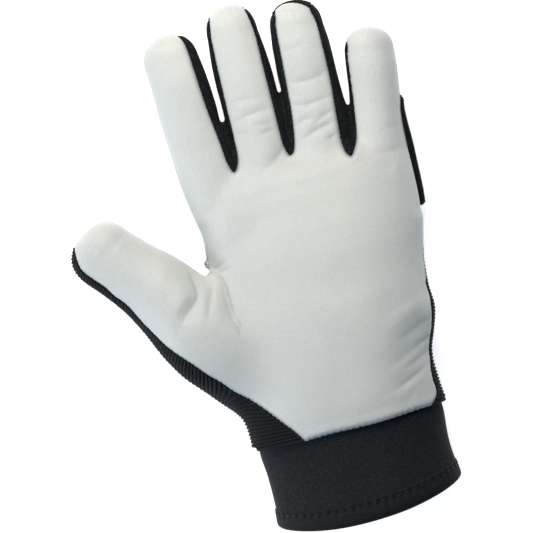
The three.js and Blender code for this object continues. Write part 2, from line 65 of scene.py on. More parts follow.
# Every section is widest at waist_share of its height. A square of 2 is an ellipse, and more is squarer.
waist_share = 0.46
square_top = 2.2
square_bottom = 2.7
finger_tip_square = 2.3
thumb_tip_square = 2.5
tip_rings = 14
tip_climb = 0.25

# at (0 wrist, 1 crotches), left, right (shares of palm_half), low, high (shares of palm_depth)
palm_rows = [
    (-0.06, -0.89, 0.88, 0.01, 1.01),
    (0.0, -0.89, 0.88, 0.01, 1.01),
    (0.08, -0.89, 0.87, 0.0, 1.0),
    (0.2, -0.87, 0.88, 0.0, 0.95),
    (0.27, -0.86, 0.945, 0.0, 0.92),
    (0.34, -0.86, 1.0, 0.0, 0.89),
    (0.43, -0.85, 1.0, 0.0, 0.85),
    (0.53, -0.85, 1.02, 0.0, 0.79),
    (0.64, -0.86, 1.09, 0.0, 0.74),
    (0.72, -0.85, 1.13, 0.0, 0.7),
    (0.79, -0.83, 1.14, 0.0, 0.66),
    (0.88, -0.86, 1.14, 0.0, 0.61),
    (0.95, -0.88, 1.13, 0.01, 0.55),
    (0.99, -0.87, 1.12, 0.04, 0.46),
    (1.01, -0.84, 1.08, 0.12, 0.35),
]

# Each finger: root in palm shares, lean, length, half width, depth, share where the tip rounds, rows of
# at (0 crotch, 1 tip), left, right (shares of the half width), sink, thick (shares of the depth)
fingers = {
    "index": ((-0.628, 0.998), -0.058, 72.1, 13.5, 22, 0.83, [
        (-0.38, -0.75, 1.1, 0.2, 0.7),
        (-0.17, -0.99, 1.14, 0.06, 1.02),
        (0.01, -1.09, 1.1, 0.02, 1.08),
        (0.18, -1.09, 1.05, 0.0, 1.05),
        (0.34, -1.08, 0.96, 0.0, 1.02),
        (0.46, -1.07, 1.0, 0.0, 1.0),
        (0.71, -1.0, 1.01, 0.0, 0.96),
        (0.83, -0.99, 0.97, 0.0, 0.9),
    ]),
    "middle": ((-0.135, 1.004), 0.027, 78, 13.5, 22, 0.82, [
        (-0.36, -0.82, 0.95, 0.2, 0.7),
        (-0.17, -1.05, 1.08, 0.06, 1.04),
        (0.0, -1.06, 1.08, 0.02, 1.1),
        (0.15, -1.0, 1.11, 0.0, 1.07),
        (0.28, -1.0, 1.12, 0.0, 1.05),
        (0.41, -1.0, 1.08, 0.0, 1.02),
        (0.56, -1.03, 1.05, 0.0, 1.0),
        (0.67, -1.015, 1.0, 0.0, 0.97),
        (0.82, -0.945, 0.9, 0.0, 0.9),
    ]),
    "ring": ((0.389, 0.989), 0.062, 74.3, 13.5, 22, 0.82, [
        (-0.38, -0.95, 1.0, 0.2, 0.7),
        (-0.19, -1.14, 1.14, 0.06, 1.04),
        (-0.07, -1.2, 1.14, 0.02, 1.08),
        (0.03, -1.18, 1.17, 0.01, 1.08),
        (0.19, -1.12, 1.24, 0.0, 1.05),
        (0.32, -1.035, 1.17, 0.0, 1.03),
        (0.46, -0.995, 1.11, 0.0, 1.0),
        (0.62, -1.0, 1.07, 0.0, 1.0),
        (0.73, -1.0, 1.03, 0.0, 0.96),
        (0.82, -0.96, 0.96, 0.0, 0.9),
    ]),
    "little": ((0.889, 0.945), 0.171, 58.3, 11.8, 20, 0.81, [
        (-0.56, -0.6, 1.2, 0.2, 0.75),
        (-0.35, -0.93, 1.34, 0.08, 1.06),
        (-0.14, -1.17, 1.25, 0.03, 1.14),
        (0.03, -1.26, 1.15, 0.01, 1.12),
        (0.17, -1.15, 1.1, 0.0, 1.08),
        (0.34, -1.04, 1.07, 0.0, 1.03),
        (0.51, -0.995, 1.04, 0.0, 1.0),
        (0.69, -1.03, 1.02, 0.0, 0.97),
        (0.81, -1.04, 0.97, 0.0, 0.9),
    ]),
}

# Thumb: root in palm shares, angle on the surface, share where the tip rounds, rows of
# at (0 heel, 1 tip), left, right (shares of thumb_half), low, high (shares of thumb_depth)
thumb = ((-0.637, 0.199), 124.4, 0.87, [
    (0.0, -0.94, 0.9, 0.14, 1.16),
    (0.1, -1.03, 1.15, 0.04, 1.17),
    (0.19, -1.09, 1.3, 0.01, 1.21),
    (0.3, -1.14, 1.35, 0.01, 1.22),
    (0.41, -1.09, 1.3, 0.02, 1.18),
    (0.55, -0.92, 1.22, 0.03, 1.06),
    (0.65, -0.85, 1.14, 0.04, 0.98),
    (0.76, -0.87, 0.97, 0.05, 0.92),
    (0.87, -0.95, 0.85, 0.06, 0.86),
])


def row_value(rows, column, at):
    """One column of a table of sections at any place, on a smooth curve through its rows."""
    places = np.array([row[0] for row in rows])
    values = np.array([row[column] for row in rows])
    slopes = np.gradient(values, places)
    i = np.clip(np.searchsorted(places, at) - 1, 0, len(rows) - 2)
    span = places[i + 1] - places[i]
    t = np.clip((at - places[i]) / span, 0, 1)
    start = values[i] * (2 * t**3 - 3 * t**2 + 1) + slopes[i] * span * (t**3 - 2 * t**2 + t)
    end = values[i + 1] * (3 * t**2 - 2 * t**3) + slopes[i + 1] * span * (t**3 - t**2)
    return start + end


def place(shares):
    """A point given in palm shares, in millimetres of the frame."""
    shares = np.asarray(shares, float)
    return shares * (palm_half, palm_length) + (centre_x, wrist_y)


def squared_round(angle):
    """Across and rise of a rounded section, from -1 to 1, and which points lie in its upper half."""
    up = np.sin(angle) > 0
    power = np.where(up, 2 / square_top, 2 / square_bottom)
    across = np.sign(np.cos(angle)) * np.abs(np.cos(angle)) ** power
    rise = np.sign(np.sin(angle)) * np.abs(np.sin(angle)) ** power
    return across, rise, up


def tube(centres, heading, left, right, low, high, around=64):
    """Points and faces of a closed tube through upright rounded sections."""
    across, rise, up = squared_round((np.arange(around) + 0.5) / around * 2 * np.pi)
    waist = low + (high - low) * waist_share
    middle = (left + right) / 2
    offset = middle[:, None] + (right - left)[:, None] / 2 * across
    reach = np.where(up[None, :], (high - waist)[:, None], (waist - low)[:, None])
    side = np.array([heading[1], -heading[0]])
    points = np.empty((len(centres), around, 3))
    points[:, :, 0] = centres[:, 0, None] + side[0] * offset
    points[:, :, 1] = centres[:, 1, None] + side[1] * offset
    points[:, :, 2] = waist[:, None] + reach * rise
    ends = [points[0].mean(0), points[-1].mean(0)]
    points = np.concatenate([points.reshape(-1, 3), ends])
    faces = []
    for ring in range(len(centres) - 1):
        for i in range(around):
            a = ring * around + i
            b = ring * around + (i + 1) % around
            faces.append((a, a + around, b + around, b))
    last = (len(centres) - 1) * around
    for i in range(around):
        j = (i + 1) % around
        faces.append((len(points) - 2, i, j))
        faces.append((len(points) - 1, last + j, last + i))
    return points, faces


def tipped(at, cap, reach, square):
    """Shares along a finger, with the closing rounds of its tip, and how far each has closed."""
    step = np.arange(1, tip_rings + 1)
    turn = step / (tip_rings + 0.3) * np.pi / 2
    forward = np.sin(turn) ** (2 / square) * reach
    places = np.concatenate([at, np.full(len(turn), cap)])
    ahead = np.concatenate([np.zeros(len(at)), forward])
    open_share = np.concatenate([np.ones(len(at)), np.cos(turn) ** (2 / square)])
    climb = np.concatenate([np.zeros(len(at)), step / tip_rings])
    return places, ahead, open_share, climb


def tipped_tube(centres, heading, left, right, low, high, open_share, rise):
    """A tube whose sections close towards their own middle at the tip, and rise there."""
    middle = (left + right) / 2
    waist = low + (high - low) * waist_share
    sides = [middle + (side - middle) * open_share for side in (left, right)]
    heights = [waist + (height - waist) * open_share + rise for height in (low, high)]
    return tube(centres, heading, *sides, *heights)


def palm_tube():
    """The palm from a little inside the cuff to the finger roots."""
    at = np.linspace(-0.05, 1.01, 90)
    centres = np.stack([np.full(len(at), centre_x), wrist_y + at * palm_length], axis=1)
    sides = [row_value(palm_rows, column, at) * palm_half for column in (1, 2)]
    heights = [back_rise + row_value(palm_rows, column, at) * palm_depth for column in (3, 4)]
    return tube(centres, (0, 1), *sides, *heights, around=110)


def finger_tube(root, lean, length, half, depth, cap, rows):
    """A finger that curls up a little towards its rounded tip."""
    along = np.linspace(rows[0][0], cap, 60)
    at, ahead, open_share, climb = tipped(along, cap, length * (1 - cap), finger_tip_square)
    direction = np.array([lean, 1.0])
    heading = direction / np.linalg.norm(direction)
    centres = place(root) + at[:, None] * length * direction + ahead[:, None] * heading
    left = row_value(rows, 1, at) * half
    right = row_value(rows, 2, at) * half
    low = back_rise + finger_curl * np.maximum(at, 0) ** 1.6 + row_value(rows, 3, at) * depth
    high = low + row_value(rows, 4, at) * depth
    return tipped_tube(centres, heading, left, right, low, high, open_share, climb * finger_curl * tip_climb)


def thumb_tube(root, angle, cap, rows):
    """The thumb and its ball, from the heel of the hand to the rounded tip."""
    along = np.linspace(0, cap, 70)
    at, ahead, open_share, climb = tipped(along, cap, thumb_length * (1 - cap), thumb_tip_square)
    heading = np.array([math.cos(math.radians(angle)), math.sin(math.radians(angle))])
    centres = place(root) + (at[:, None] * thumb_length + ahead[:, None]) * heading
    left = row_value(rows, 1, at) * thumb_half
    right = row_value(rows, 2, at) * thumb_half
    base = back_rise + thumb_lift * at**2
    low = base + row_value(rows, 3, at) * thumb_depth
    high = base + row_value(rows, 4, at) * thumb_depth
    return tipped_tube(centres, heading, left, right, low, high, open_share, climb * thumb_lift * tip_climb)


def mesh_arrays(mesh):
    """A mesh's points in millimetres and its triangles."""
    points = np.empty(len(mesh.vertices) * 3)
    mesh.vertices.foreach_get("co", points)
    mesh.calc_loop_triangles()
    faces = np.empty(len(mesh.loop_triangles) * 3, int)
    mesh.loop_triangles.foreach_get("vertices", faces)
    return points.reshape(-1, 3) / MM, faces.reshape(-1, 3)


def write_mesh(name, points, faces, values=None):
    """A smooth-shaded object at the origin, with any per-point values as attributes."""
    mesh = bpy.data.meshes.new(name)
    mesh.from_pydata((np.asarray(points) * MM).tolist(), [], np.asarray(faces).tolist())
    mesh.shade_smooth()
    for key, numbers in (values or {}).items():
        layer = mesh.attributes.new(key, "FLOAT", "POINT")
        layer.data.foreach_set("value", np.asarray(numbers, np.float32))
    piece = bpy.data.objects.new(name, mesh)
    bpy.context.scene.collection.objects.link(piece)
    return piece


def made_plain(piece):
    """Turns what a piece's modifiers make into its own plain mesh."""
    depsgraph = bpy.context.evaluated_depsgraph_get()
    mesh = bpy.data.meshes.new_from_object(piece.evaluated_get(depsgraph))
    piece.modifiers.clear()
    piece.data = mesh
    return mesh


def one_skin(tubes):
    """Joins overlapping tubes into one even skin of small faces."""
    points, faces, base = [], [], 0
    for tube_points, tube_faces in tubes:
        points.append(tube_points)
        faces.extend([tuple(base + i for i in face) for face in tube_faces])
        base += len(tube_points)
    mesh = bpy.data.meshes.new("form")
    mesh.from_pydata((np.concatenate(points) * MM).tolist(), [], faces)
    form = bpy.data.objects.new("form", mesh)
    bpy.context.scene.collection.objects.link(form)
    remesh = form.modifiers.new("skin", "REMESH")
    remesh.mode = "VOXEL"
    remesh.voxel_size = skin_grid * MM
    result = mesh_arrays(made_plain(form))
    bpy.data.objects.remove(form)
    return result


def edges_of(faces):
    """Each pair of neighbouring points once."""
    pairs = np.sort(np.concatenate([faces[:, [0, 1]], faces[:, [1, 2]], faces[:, [2, 0]]]), axis=1)
    return np.unique(pairs, axis=0)


def neighbour_mean(edges, values, count):
    """Mean of each point's neighbours, for one or more columns of values."""
    i, j = edges[:, 0], edges[:, 1]
    number = np.maximum(np.bincount(i, minlength=count) + np.bincount(j, minlength=count), 1)
    columns = values.reshape(count, -1)
    mean = np.empty_like(columns)
    for k in range(columns.shape[1]):
        total = np.bincount(i, weights=columns[j, k], minlength=count)
        total += np.bincount(j, weights=columns[i, k], minlength=count)
        mean[:, k] = total / number
    return mean.reshape(values.shape)


def normals_of(points, faces):
    """Smooth outward directions at a mesh's points."""
    corners = points[faces]
    face = np.cross(corners[:, 1] - corners[:, 0], corners[:, 2] - corners[:, 0])
    normal = np.zeros_like(points)
    for k in range(3):
        for axis in range(3):
            normal[:, axis] += np.bincount(faces[:, k], weights=face[:, axis], minlength=len(points))
    return normal / np.maximum(np.linalg.norm(normal, axis=1, keepdims=True), 1e-9)


def away_from_line(points, line):
    """Distance in plan from a line, the line's share at the nearest place, and the side (1 is left)."""
    line = np.asarray(line, float)
    lengths = np.linalg.norm(np.diff(line, axis=0), axis=1)
    start = np.concatenate([[0], np.cumsum(lengths)])
    best = np.full(len(points), 1e9)
    share = np.zeros(len(points))
    side = np.ones(len(points))
    for k in range(len(line) - 1):
        step = line[k + 1] - line[k]
        reach = points[:, :2] - line[k]
        t = np.clip((reach @ step) / max(step @ step, 1e-9), 0, 1)
        away = np.linalg.norm(reach - t[:, None] * step, axis=1)
        nearer = away < best
        best[nearer] = away[nearer]
        share[nearer] = (start[k] + t[nearer] * lengths[k]) / start[-1]
        side[nearer] = np.sign(step[0] * reach[nearer, 1] - step[1] * reach[nearer, 0])
    return best, share, side


def through(points, steps=7):
    """More points on a smooth curve through a few."""
    points = np.asarray(points, float)
    row = np.arange(len(points))
    at = np.linspace(0, len(points) - 1, (len(points) - 1) * steps + 1)
    return np.stack([
        row_value(np.stack([row, points[:, axis]], axis=1), 1, at) for axis in (0, 1)
    ], axis=1)


skin, skin_faces = one_skin(
    [palm_tube()] + [finger_tube(*finger) for finger in fingers.values()] + [thumb_tube(*thumb)]
)
skin_edges = edges_of(skin_faces)


def toward_mean(points, share):
    """The skin's points, moved some share of the way to the mean of their neighbours."""
    return points + share * (neighbour_mean(skin_edges, points, len(points)) - points)


# Each pass evens out the small faces and then pushes them back, so that the hand doesn't shrink
for turn in range(6):
    skin = toward_mean(toward_mean(skin, 0.5), -0.52)

# Where the photograph's centre lies, how high its scale holds, how high the camera stands above that, and
# how high the palm and the fingers are
photo_centre = (centre_x - 19, wrist_y + 84.5, 20)
camera_height = 1000
palm_top = 44
finger_top = 30
finger_roots_y = 44


def photo_point(x, y, height=None):
    """A place read off the photograph, in millimetres from its centre along the hand. What stands
    higher looks larger, so it lies nearer the centre than it seems."""
    if height is None:
        height = palm_top if y < finger_roots_y else finger_top
    nearer = 1 - (height - photo_centre[2]) / camera_height
    return (x * nearer + photo_centre[0], y * nearer + photo_centre[1])


def photo_curve(points, steps):
    """A smooth line through places read off the photograph."""
    return through([photo_point(*p) for p in points], steps)


# Where the thumb's ball runs softly into the palm, and the fingers into their roots: line, radius, passes.
# Only what stands higher than palm_side is softened.
palm_side = 18
soft_joins = [
    ([(-24, -62), (-18, -44), (-16, -20), (-20, -4)], 25, 330),
    ([(-27, 45), (-15, 46), (5, 47), (15, 47), (35, 47), (42, 45), (60, 38), (80, 40)], 9, 60),
]
for line, radius, passes in soft_joins:
    away, share, side = away_from_line(skin, [photo_point(*p) for p in line])
    ease = np.clip(1.3 - away / radius, 0, 1) * (skin[:, 2] > palm_side)
    for turn in range(passes):
        skin = toward_mean(skin, (ease * 0.6)[:, None])

# Folds of the leather: line read off the photograph, half widths left and right of it, depth
# (negative for a ridge) and how sharply its bottom is pressed together, from 0 to 1, which also sets
# the painted shade in the crease
folds = [
    ([(-38, 9), (-37.5, 5.8), (-36.5, -1.1), (-36.9, -5.9), (-40.1, -9.6), (-44.4, -13.1), (-48, -17)],
     5.0, 3.4, 2.4, 1.0),
    ([(-66, 29), (-57, 19), (-46, 10)], 5.0, 9.0, 1.1, 0.0),
    ([(-33, -1), (-33, -7), (-36, -12)], 2.6, 2.4, -0.5, 0.0),
    ([(-28.5, 1), (-29.1, -3.9), (-31, -9), (-32.6, -14), (-34, -18)], 2.2, 2.2, 0.9, 0.35),
    ([(-25.5, 3), (-24.4, 1.5), (-23.3, -2.1), (-23.2, -7), (-23.3, -12), (-22.7, -17.1), (-22, -22.5)],
     1.2, 2.4, 1.15, 0.8),
    ([(-24, 2.5), (-22.4, 0), (-21.5, -5), (-21.4, -10), (-21.2, -15.1), (-20.8, -21)], 0.8, 1.3, 0.6, 1.0),
    ([(-21.8, -21), (-21, -25), (-20, -29)], 0.7, 0.9, 0.3, 0.6),
    ([(-20.2, -20), (-19.2, -24), (-18.6, -27)], 0.7, 0.8, 0.25, 0.5),
    ([(-29.2, 10), (-28.4, 6.5), (-26.6, 4.4), (-24, 3.5)], 0.8, 0.8, -0.9, 0.0),
    ([(-27.5, 7.6), (-25.4, 5.4), (-22.4, 6.2), (-18.5, 8)], 1.4, 1.4, 0.8, 0.7),
    ([(-26, 4.2), (-21.5, 3.6), (-17, 4.6)], 1.0, 1.0, 0.4, 0.5),
    ([(-26, 5), (-25, 12), (-25.5, 22), (-28, 34)], 3.0, 5.0, 1.1, 0.0),
    ([(-19, 12), (-15.5, 22), (-11, 34), (-8, 44)], 4.5, 5.0, -0.6, 0.0),
    ([(-21, 9), (-12, 14), (-4, 16.8), (5, 24), (12, 33)], 4.0, 8.0, 0.7, 0.0),
    ([(-6, 22), (2, 30), (8, 40)], 4.0, 4.0, 0.3, 0.0),
    ([(8, 44), (15, 47), (22, 51)], 3.0, 4.0, 0.4, 0.25),
    ([(1.5, 81.6), (11, 80.8), (20, 80)], 2.4, 2.6, 0.16, 0.3),
    ([(1.2, 71.6), (7.4, 72.6), (12.5, 73.3), (17.6, 73.7), (23, 73.6)], 2.2, 2.6, 0.54, 0.6),
    ([(1.5, 66.4), (8.5, 64.8)], 1.4, 1.6, 0.24, 0.4),
    ([(11.5, 68), (16, 66.8), (20.5, 67.2)], 1.4, 1.6, 0.20, 0.4),
    ([(13.5, 62.4), (17, 63.1), (21, 63)], 1.4, 1.6, 0.32, 0.6),
    ([(16, 48.5), (20, 51), (23.5, 56)], 1.4, 1.8, 0.34, 0.4),
    ([(31.5, 84.8), (37, 82.7), (43.9, 81.9), (49, 82.8), (53.5, 85.4)], 1.9, 2.2, 0.41, 0.5),
    ([(31, 73.2), (37, 71.4), (45.3, 71.1), (52.5, 72.2)], 1.8, 2.2, 0.38, 0.6),
    ([(37, 69.6), (41.5, 69.8)], 0.9, 1.2, 0.20, 0.5),
    ([(30.5, 62.8), (36.4, 64.1), (40.5, 63.9)], 1.4, 1.6, 0.38, 0.5),
    ([(39.5, 60), (41.2, 61), (45.3, 63.1), (51, 65)], 1.8, 1.6, 0.47, 0.4),
    ([(32.5, 55), (38.7, 57.1), (44.1, 58.5), (49.5, 59.6)], 1.9, 2.4, 0.68, 0.8),
    ([(44, 51.5), (50, 53.5)], 1.2, 1.4, 0.27, 0.5),
    ([(33, 98.4), (40, 98.6), (47, 99.4)], 1.6, 1.8, 0.16, 0.3),
    ([(37, 117.8), (42, 116.4), (49, 114)], 1.3, 1.4, 0.22, 0.3),
    ([(66, 40.3), (73, 39.4), (82, 39.8)], 1.8, 2.2, 0.28, 0.3),
    ([(70, 50), (81, 50.6)], 1.6, 1.8, 0.15, 0.2),
    ([(72, 27), (78, 35)], 2.2, 2.2, -0.4, 0.0),
    ([(48, -45.5), (58, -41), (70, -35)], 4.0, 3.0, -0.6, 0.0),
    ([(52, -51), (60, -48.5), (71, -43.5)], 2.0, 5.0, 0.8, 0.2),
    ([(58, -56.5), (66, -53.5), (70, -51)], 1.6, 1.6, 0.42, 0.7),
    ([(46, -61.5), (56, -57.5), (66, -55)], 3.5, 2.6, 0.45, 0.25),
    ([(52, -64.5), (60, -61.5), (67, -58.5)], 1.4, 1.4, 0.35, 0.6),
    ([(44, -73), (52.2, -70), (57.2, -68.1), (63.5, -65)], 4.5, 2.6, 1.0, 0.9),
    ([(47, -81), (53, -76), (60, -72.5)], 2.5, 2.5, 0.25, 0.2),
    ([(69, -16), (70.5, -26), (70, -36)], 2.5, 3.0, 0.5, 0.0),
    ([(60, -36), (63, -50), (62, -68)], 6.0, 12.0, 1.3, 0.0),
]
# Width of a pressed fold's bottom, which the skin sinks into and the painted crease shade fills, and how
# deep it sinks
crease_width = 0.75
crease_depth = 0.25


def crease_at(points):
    """How sharply a fold's bottom is pressed together at each place, from 0 to 1. It also sets the painted
    shade in the leather's creases.
    """
    pressed = np.zeros(len(points))
    for line, left, right, depth, crease in folds:
        away, share, side = away_from_line(points, photo_curve(line, 4))
        fade = np.sin(np.pi * np.clip(share, 0.02, 0.98)) ** 0.6
        pressed = np.maximum(pressed, crease * fade * np.exp(-((away / crease_width) ** 2)))
    return pressed


def facing_up():
    """How far the skin faces up at each point, from 0 to 1."""
    return np.clip(normals_of(skin, skin_faces)[:, 2] * 1.6, 0, 1)


for line, left, right, depth, crease in folds:
    away, share, side = away_from_line(skin, photo_curve(line, 4))
    fade = np.sin(np.pi * np.clip(share, 0.04, 0.96)) ** 0.6
    width = np.where(side > 0, left, right)
    skin[:, 2] -= depth * np.exp(-((away / width) ** 2)) * fade * facing_up()
skin[:, 2] -= crease_depth * crease_at(skin)

# The pocket where the thumb and the index finger meet: place, radius, depth
for spot, radius, depth in ((photo_point(-27, 6), 5.5, 3.0), (photo_point(-28.4, 2.9), 1.6, 2.0)):
    away = np.linalg.norm(skin[:, :2] - spot, axis=1)
    skin[:, 2] -= depth * np.exp(-((away / radius) ** 2)) * facing_up()

# The stretch cloth bulges over the cuff on the thumb's side
bulge_height = 0.5
bulge_radius = 9
away = np.linalg.norm(skin[:, :2] - photo_point(-27, -77, 20), axis=1)
skin += normals_of(skin, skin_faces) * (bulge_height * np.exp(-((away / bulge_radius) ** 2)))[:, None]

# The leather is pulled in under the knuckle band's end, at the little finger's side: most at the band's
# lower corner, and least beside the little finger's root
band_end = [photo_point(81, 4), photo_point(82, 20), photo_point(83, 45), photo_point(84, 62)]
away, share, side = away_from_line(skin, band_end)
pulled = 1.2 - 0.6 * share - 0.9 * np.exp(-(((share - 0.6) / 0.2) ** 2))
pulled *= np.exp(-((away / 6) ** 2)) * np.clip(np.minimum(share, 1 - share) * 12, 0, 1)
skin -= normals_of(skin, skin_faces) * (pulled * (skin[:, 2] > 4))[:, None]


def unevenness(points, waves):
    """Slow random rise and fall over a surface, from waves of a height, a length and a seed."""
    total = np.zeros(len(points))
    for height, length, seed in waves:
        shift = Vector((seed * 7.3, seed * 3.1, seed * 5.7))
        total += height * np.array([noise.noise(Vector(p) / length + shift) for p in points])
    return total


skin += normals_of(skin, skin_faces) * unevenness(skin, [(0.24, 19, 1), (0.03, 6, 2)])[:, None]

# The cloth stays this far above the floor, which leaves room for the ribs and the band under it
floor_room = 0.6
skin[:, 2] = np.maximum(skin[:, 2], floor_room)


# Palm leather
# White goatskin in one piece: palm, finger and thumb fronts, round the index finger's outer side and
# over the tips. It is cut from the skin along its seams, and its edges are drawn in by the stitching.
leather_wall = 1.1
stitch_pitch = 2.2
pucker_depth = 0.1
pucker_width = 1.4
swell_place = 2.6
swell_width = 1.8
lift_width = 1.2


def finger_place(finger, at, side):
    """A place on a finger, by shares of its length and of its half width."""
    root, lean, length, half = fingers[finger][:4]
    return place(root) + at * length * np.array([lean, 1.0]) + (side * half, 0)


# Crotch in palm shares, the two fingers, and each seam as shares of the length and of the half width
gussets = {
    "fourchette_index_middle": ((-0.407, 1.0), "index", "middle", [
        (0.06, 0.75), (0.26, 0.71), (0.51, 0.65), (0.82, 0.66), (0.93, 0.61), (1.0, 0.43), (1.04, 0.5),
    ], [
        (0.05, -0.9), (0.18, -0.85), (0.5, -0.85), (0.8, -0.82), (0.94, -0.71), (0.99, -0.82),
    ]),
    "fourchette_middle_ring": ((0.111, 1.008), "middle", "ring", [
        (0.03, 0.88), (0.12, 0.81), (0.41, 0.79), (0.72, 0.77), (0.83, 0.73), (0.92, 0.63), (0.99, 0.51),
    ], [
        (0.06, -0.97), (0.14, -0.88), (0.28, -0.81), (0.52, -0.78), (0.83, -0.76), (0.92, -0.69),
        (0.99, -0.78),
    ]),
    "fourchette_ring_little": ((0.63, 0.947), "ring", "little", [
        (-0.04, 0.8), (0.05, 0.74), (0.24, 0.76), (0.45, 0.8), (0.7, 0.75), (0.82, 0.7), (0.9, 0.58),
        (0.97, 0.64),
    ], [
        (0.1, -0.96), (0.22, -0.9), (0.5, -0.91), (0.79, -0.97), (0.88, -0.94), (0.99, -0.95),
    ]),
}


def gusset_outline(crotch, first, second, first_seam, second_seam):
    """Outline of a strip in plan: down one finger's seam, round the crotch and up the next finger's."""
    left = [finger_place(first, *shares) for shares in first_seam]
    right = [finger_place(second, *shares) for shares in second_seam]
    return through(left[::-1] + [place(crotch)] + right)


# The leather's edge in plan: down the little finger's side, along the wrist, up the thumb and over the
# tips. Each place was read off the photograph and has its height on the glove.
side_edge = [
    (86, 0, 28), (80, -4, 28), (76.4, -8.5, 28), (74.7, -13.5, 28), (73.8, -20, 28), (73.0, -27, 29),
    (72.7, -31, 29), (72.4, -35, 29), (71.3, -42, 30), (70, -47, 31), (68.2, -53, 32), (66.3, -58, 32),
    (65, -63, 33), (64, -68, 34), (63.6, -73, 34), (63.9, -77, 35), (63.6, -80, 36), (62.4, -82.6, 38),
    (60.5, -84.4, 40), (58, -90, 42), (56, -100, 42),
]
thumb_edge = [
    (1, -100, 36), (-1.5, -90, 34), (-4, -85, 33), (-7, -80, 32), (-11, -75, 31), (-15, -70, 30),
    (-20, -64, 28), (-25, -58.5, 26), (-30, -54, 24), (-35, -48, 23), (-40, -43, 22), (-45, -37, 22),
    (-50, -31.5, 22), (-55.5, -25, 22), (-60, -18, 23), (-64.5, -10, 22), (-67, -5, 22), (-69.8, 0, 22),
    (-74, 5, 22), (-77, 10, 21), (-80.5, 14, 21), (-85.3, 20, 20), (-86.5, 24, 20), (-86.8, 30, 20),
    (-86.7, 34, 20), (-90, 38, 20), (-100, 40, 20),
]
tip_edge = [
    (80, 103.5, 20), (62.5, 107, 20), (54, 110, 20), (52.6, 113.2, 20), (51, 115.5, 20), (49, 117.1, 20),
    (47, 118.2, 20), (44.5, 119.2, 20), (42, 119.6, 20), (40, 119.6, 20), (38, 119.1, 20), (36.2, 118.1, 20),
    (35, 116.9, 20), (34.2, 115, 20), (30, 113, 20), (27.8, 120, 20),
]
past_fingers = [(-100, 60), (-60, 60), (-60, 120), (-10, 124), (20, 134)]
leather_outline = np.concatenate([
    photo_curve(side_edge, 3),
    photo_curve(thumb_edge, 3),
    [photo_point(*p, 20) for p in past_fingers],
    photo_curve(tip_edge[::-1], 4),
    [photo_point(120, 104, 20)],
])

# Height of the seam where the leather wraps round a side: share of palm_length, millimetres
seam_heights = [
    (-0.2, 37), (0.02, 35), (0.13, 31), (0.27, 29), (0.43, 26.5), (0.53, 17), (0.85, 14.5),
    (1.0, 11), (1.25, 12.8), (1.45, 16.7), (1.7, 19),
]


def inside(points, outline):
    """Signed distance in plan from a closed outline, positive inside it."""
    closed = np.concatenate([outline, outline[:1]])
    away, share, side = away_from_line(points, closed)
    within = np.zeros(len(points), bool)
    for a, b in zip(closed[:-1], closed[1:]):
        crosses = (a[1] > points[:, 1]) != (b[1] > points[:, 1])
        slope = (b[0] - a[0]) / (b[1] - a[1] if b[1] != a[1] else 1e-9)
        within ^= crosses & (points[:, 0] < a[0] + (points[:, 1] - a[1]) * slope)
    return np.where(within, away, -away)


def leather_side(points):
    """Above zero on the leather's side of its outline and above the seam round each side."""
    along = (points[:, 1] - wrist_y) / palm_length
    seam = np.interp(along, *np.array(seam_heights).T)
    return np.minimum(inside(points, leather_outline), points[:, 2] - seam)


# The hand's cloth ends a little above the cuff's seam line, and its corners round off: place, width, rise
wrist_seam = 1.1
wrist_corners = [(photo_point(-29, -80, 20)[0], 2.4, 1.6), (photo_point(67, -77, 20)[0], 1.2, 1.8)]


def past_wrist(points):
    """Above zero inside the glove: a wavy cut across the wrist that rounds off at both sides."""
    edge = wrist_y + wrist_seam + 0.3 * np.sin(points[:, 0] / 7) + 0.12 * np.sin(points[:, 0] * 2.1)
    for corner, width, rise in wrist_corners:
        edge = edge + rise * np.exp(-(((points[:, 0] - corner) / width) ** 2))
    return points[:, 1] - edge


def cut_along(points, faces, value):
    """Splits the triangles that a seam crosses, so that each lies on one side of it."""
    value = np.where(np.abs(value) < 0.1, 0, value)
    sign = np.sign(value)[faces]
    crossed = (sign.max(axis=1) > 0) & (sign.min(axis=1) < 0)
    kept, split = faces[~crossed], faces[crossed]
    pairs = np.sort(np.stack([split[:, [0, 1]], split[:, [1, 2]], split[:, [2, 0]]], axis=1), axis=2)
    cut = value[pairs[:, :, 0]] * value[pairs[:, :, 1]] < 0
    unique, number = np.unique(pairs[cut], axis=0, return_inverse=True)
    share = value[unique[:, 0]] / (value[unique[:, 0]] - value[unique[:, 1]])
    fresh = points[unique[:, 0]] * (1 - share)[:, None] + points[unique[:, 1]] * share[:, None]
    fresh_at = np.full(cut.shape, -1)
    fresh_at[cut] = len(points) + number.ravel()
    made = [kept]
    for k in range(3):
        a, b, c = split[:, k], split[:, (k + 1) % 3], split[:, (k + 2) % 3]
        ab, bc, ca = fresh_at[:, k], fresh_at[:, (k + 1) % 3], fresh_at[:, (k + 2) % 3]
        lone = (ab >= 0) & (ca >= 0)
        for corner in ((a, ab, ca), (ab, b, c), (ab, c, ca)):
            made.append(np.stack(corner, axis=1)[lone])
        even = (bc >= 0) & (ab < 0) & (ca < 0)
        for corner in ((a, b, bc), (a, bc, c)):
            made.append(np.stack(corner, axis=1)[even])
    return np.concatenate([points, fresh]), np.concatenate(made)


seam_margin = 0.3
gusset_outlines = {name: gusset_outline(*facts) for name, facts in gussets.items()}
gusset_seams = [lambda p, o=outline: inside(p, o) - seam_margin for outline in gusset_outlines.values()]
for seam in [past_wrist] + gusset_seams + [leather_side]:
    skin, skin_faces = cut_along(skin, skin_faces, seam(skin))

face_middle = skin[skin_faces].mean(axis=1)
in_glove = past_wrist(face_middle) > 0
in_gusset = {name: inside(face_middle, outline) > seam_margin for name, outline in gusset_outlines.items()}
in_any_gusset = np.any(list(in_gusset.values()), axis=0)
in_leather = leather_side(face_middle) > 0
skin_normals = normals_of(skin, skin_faces)


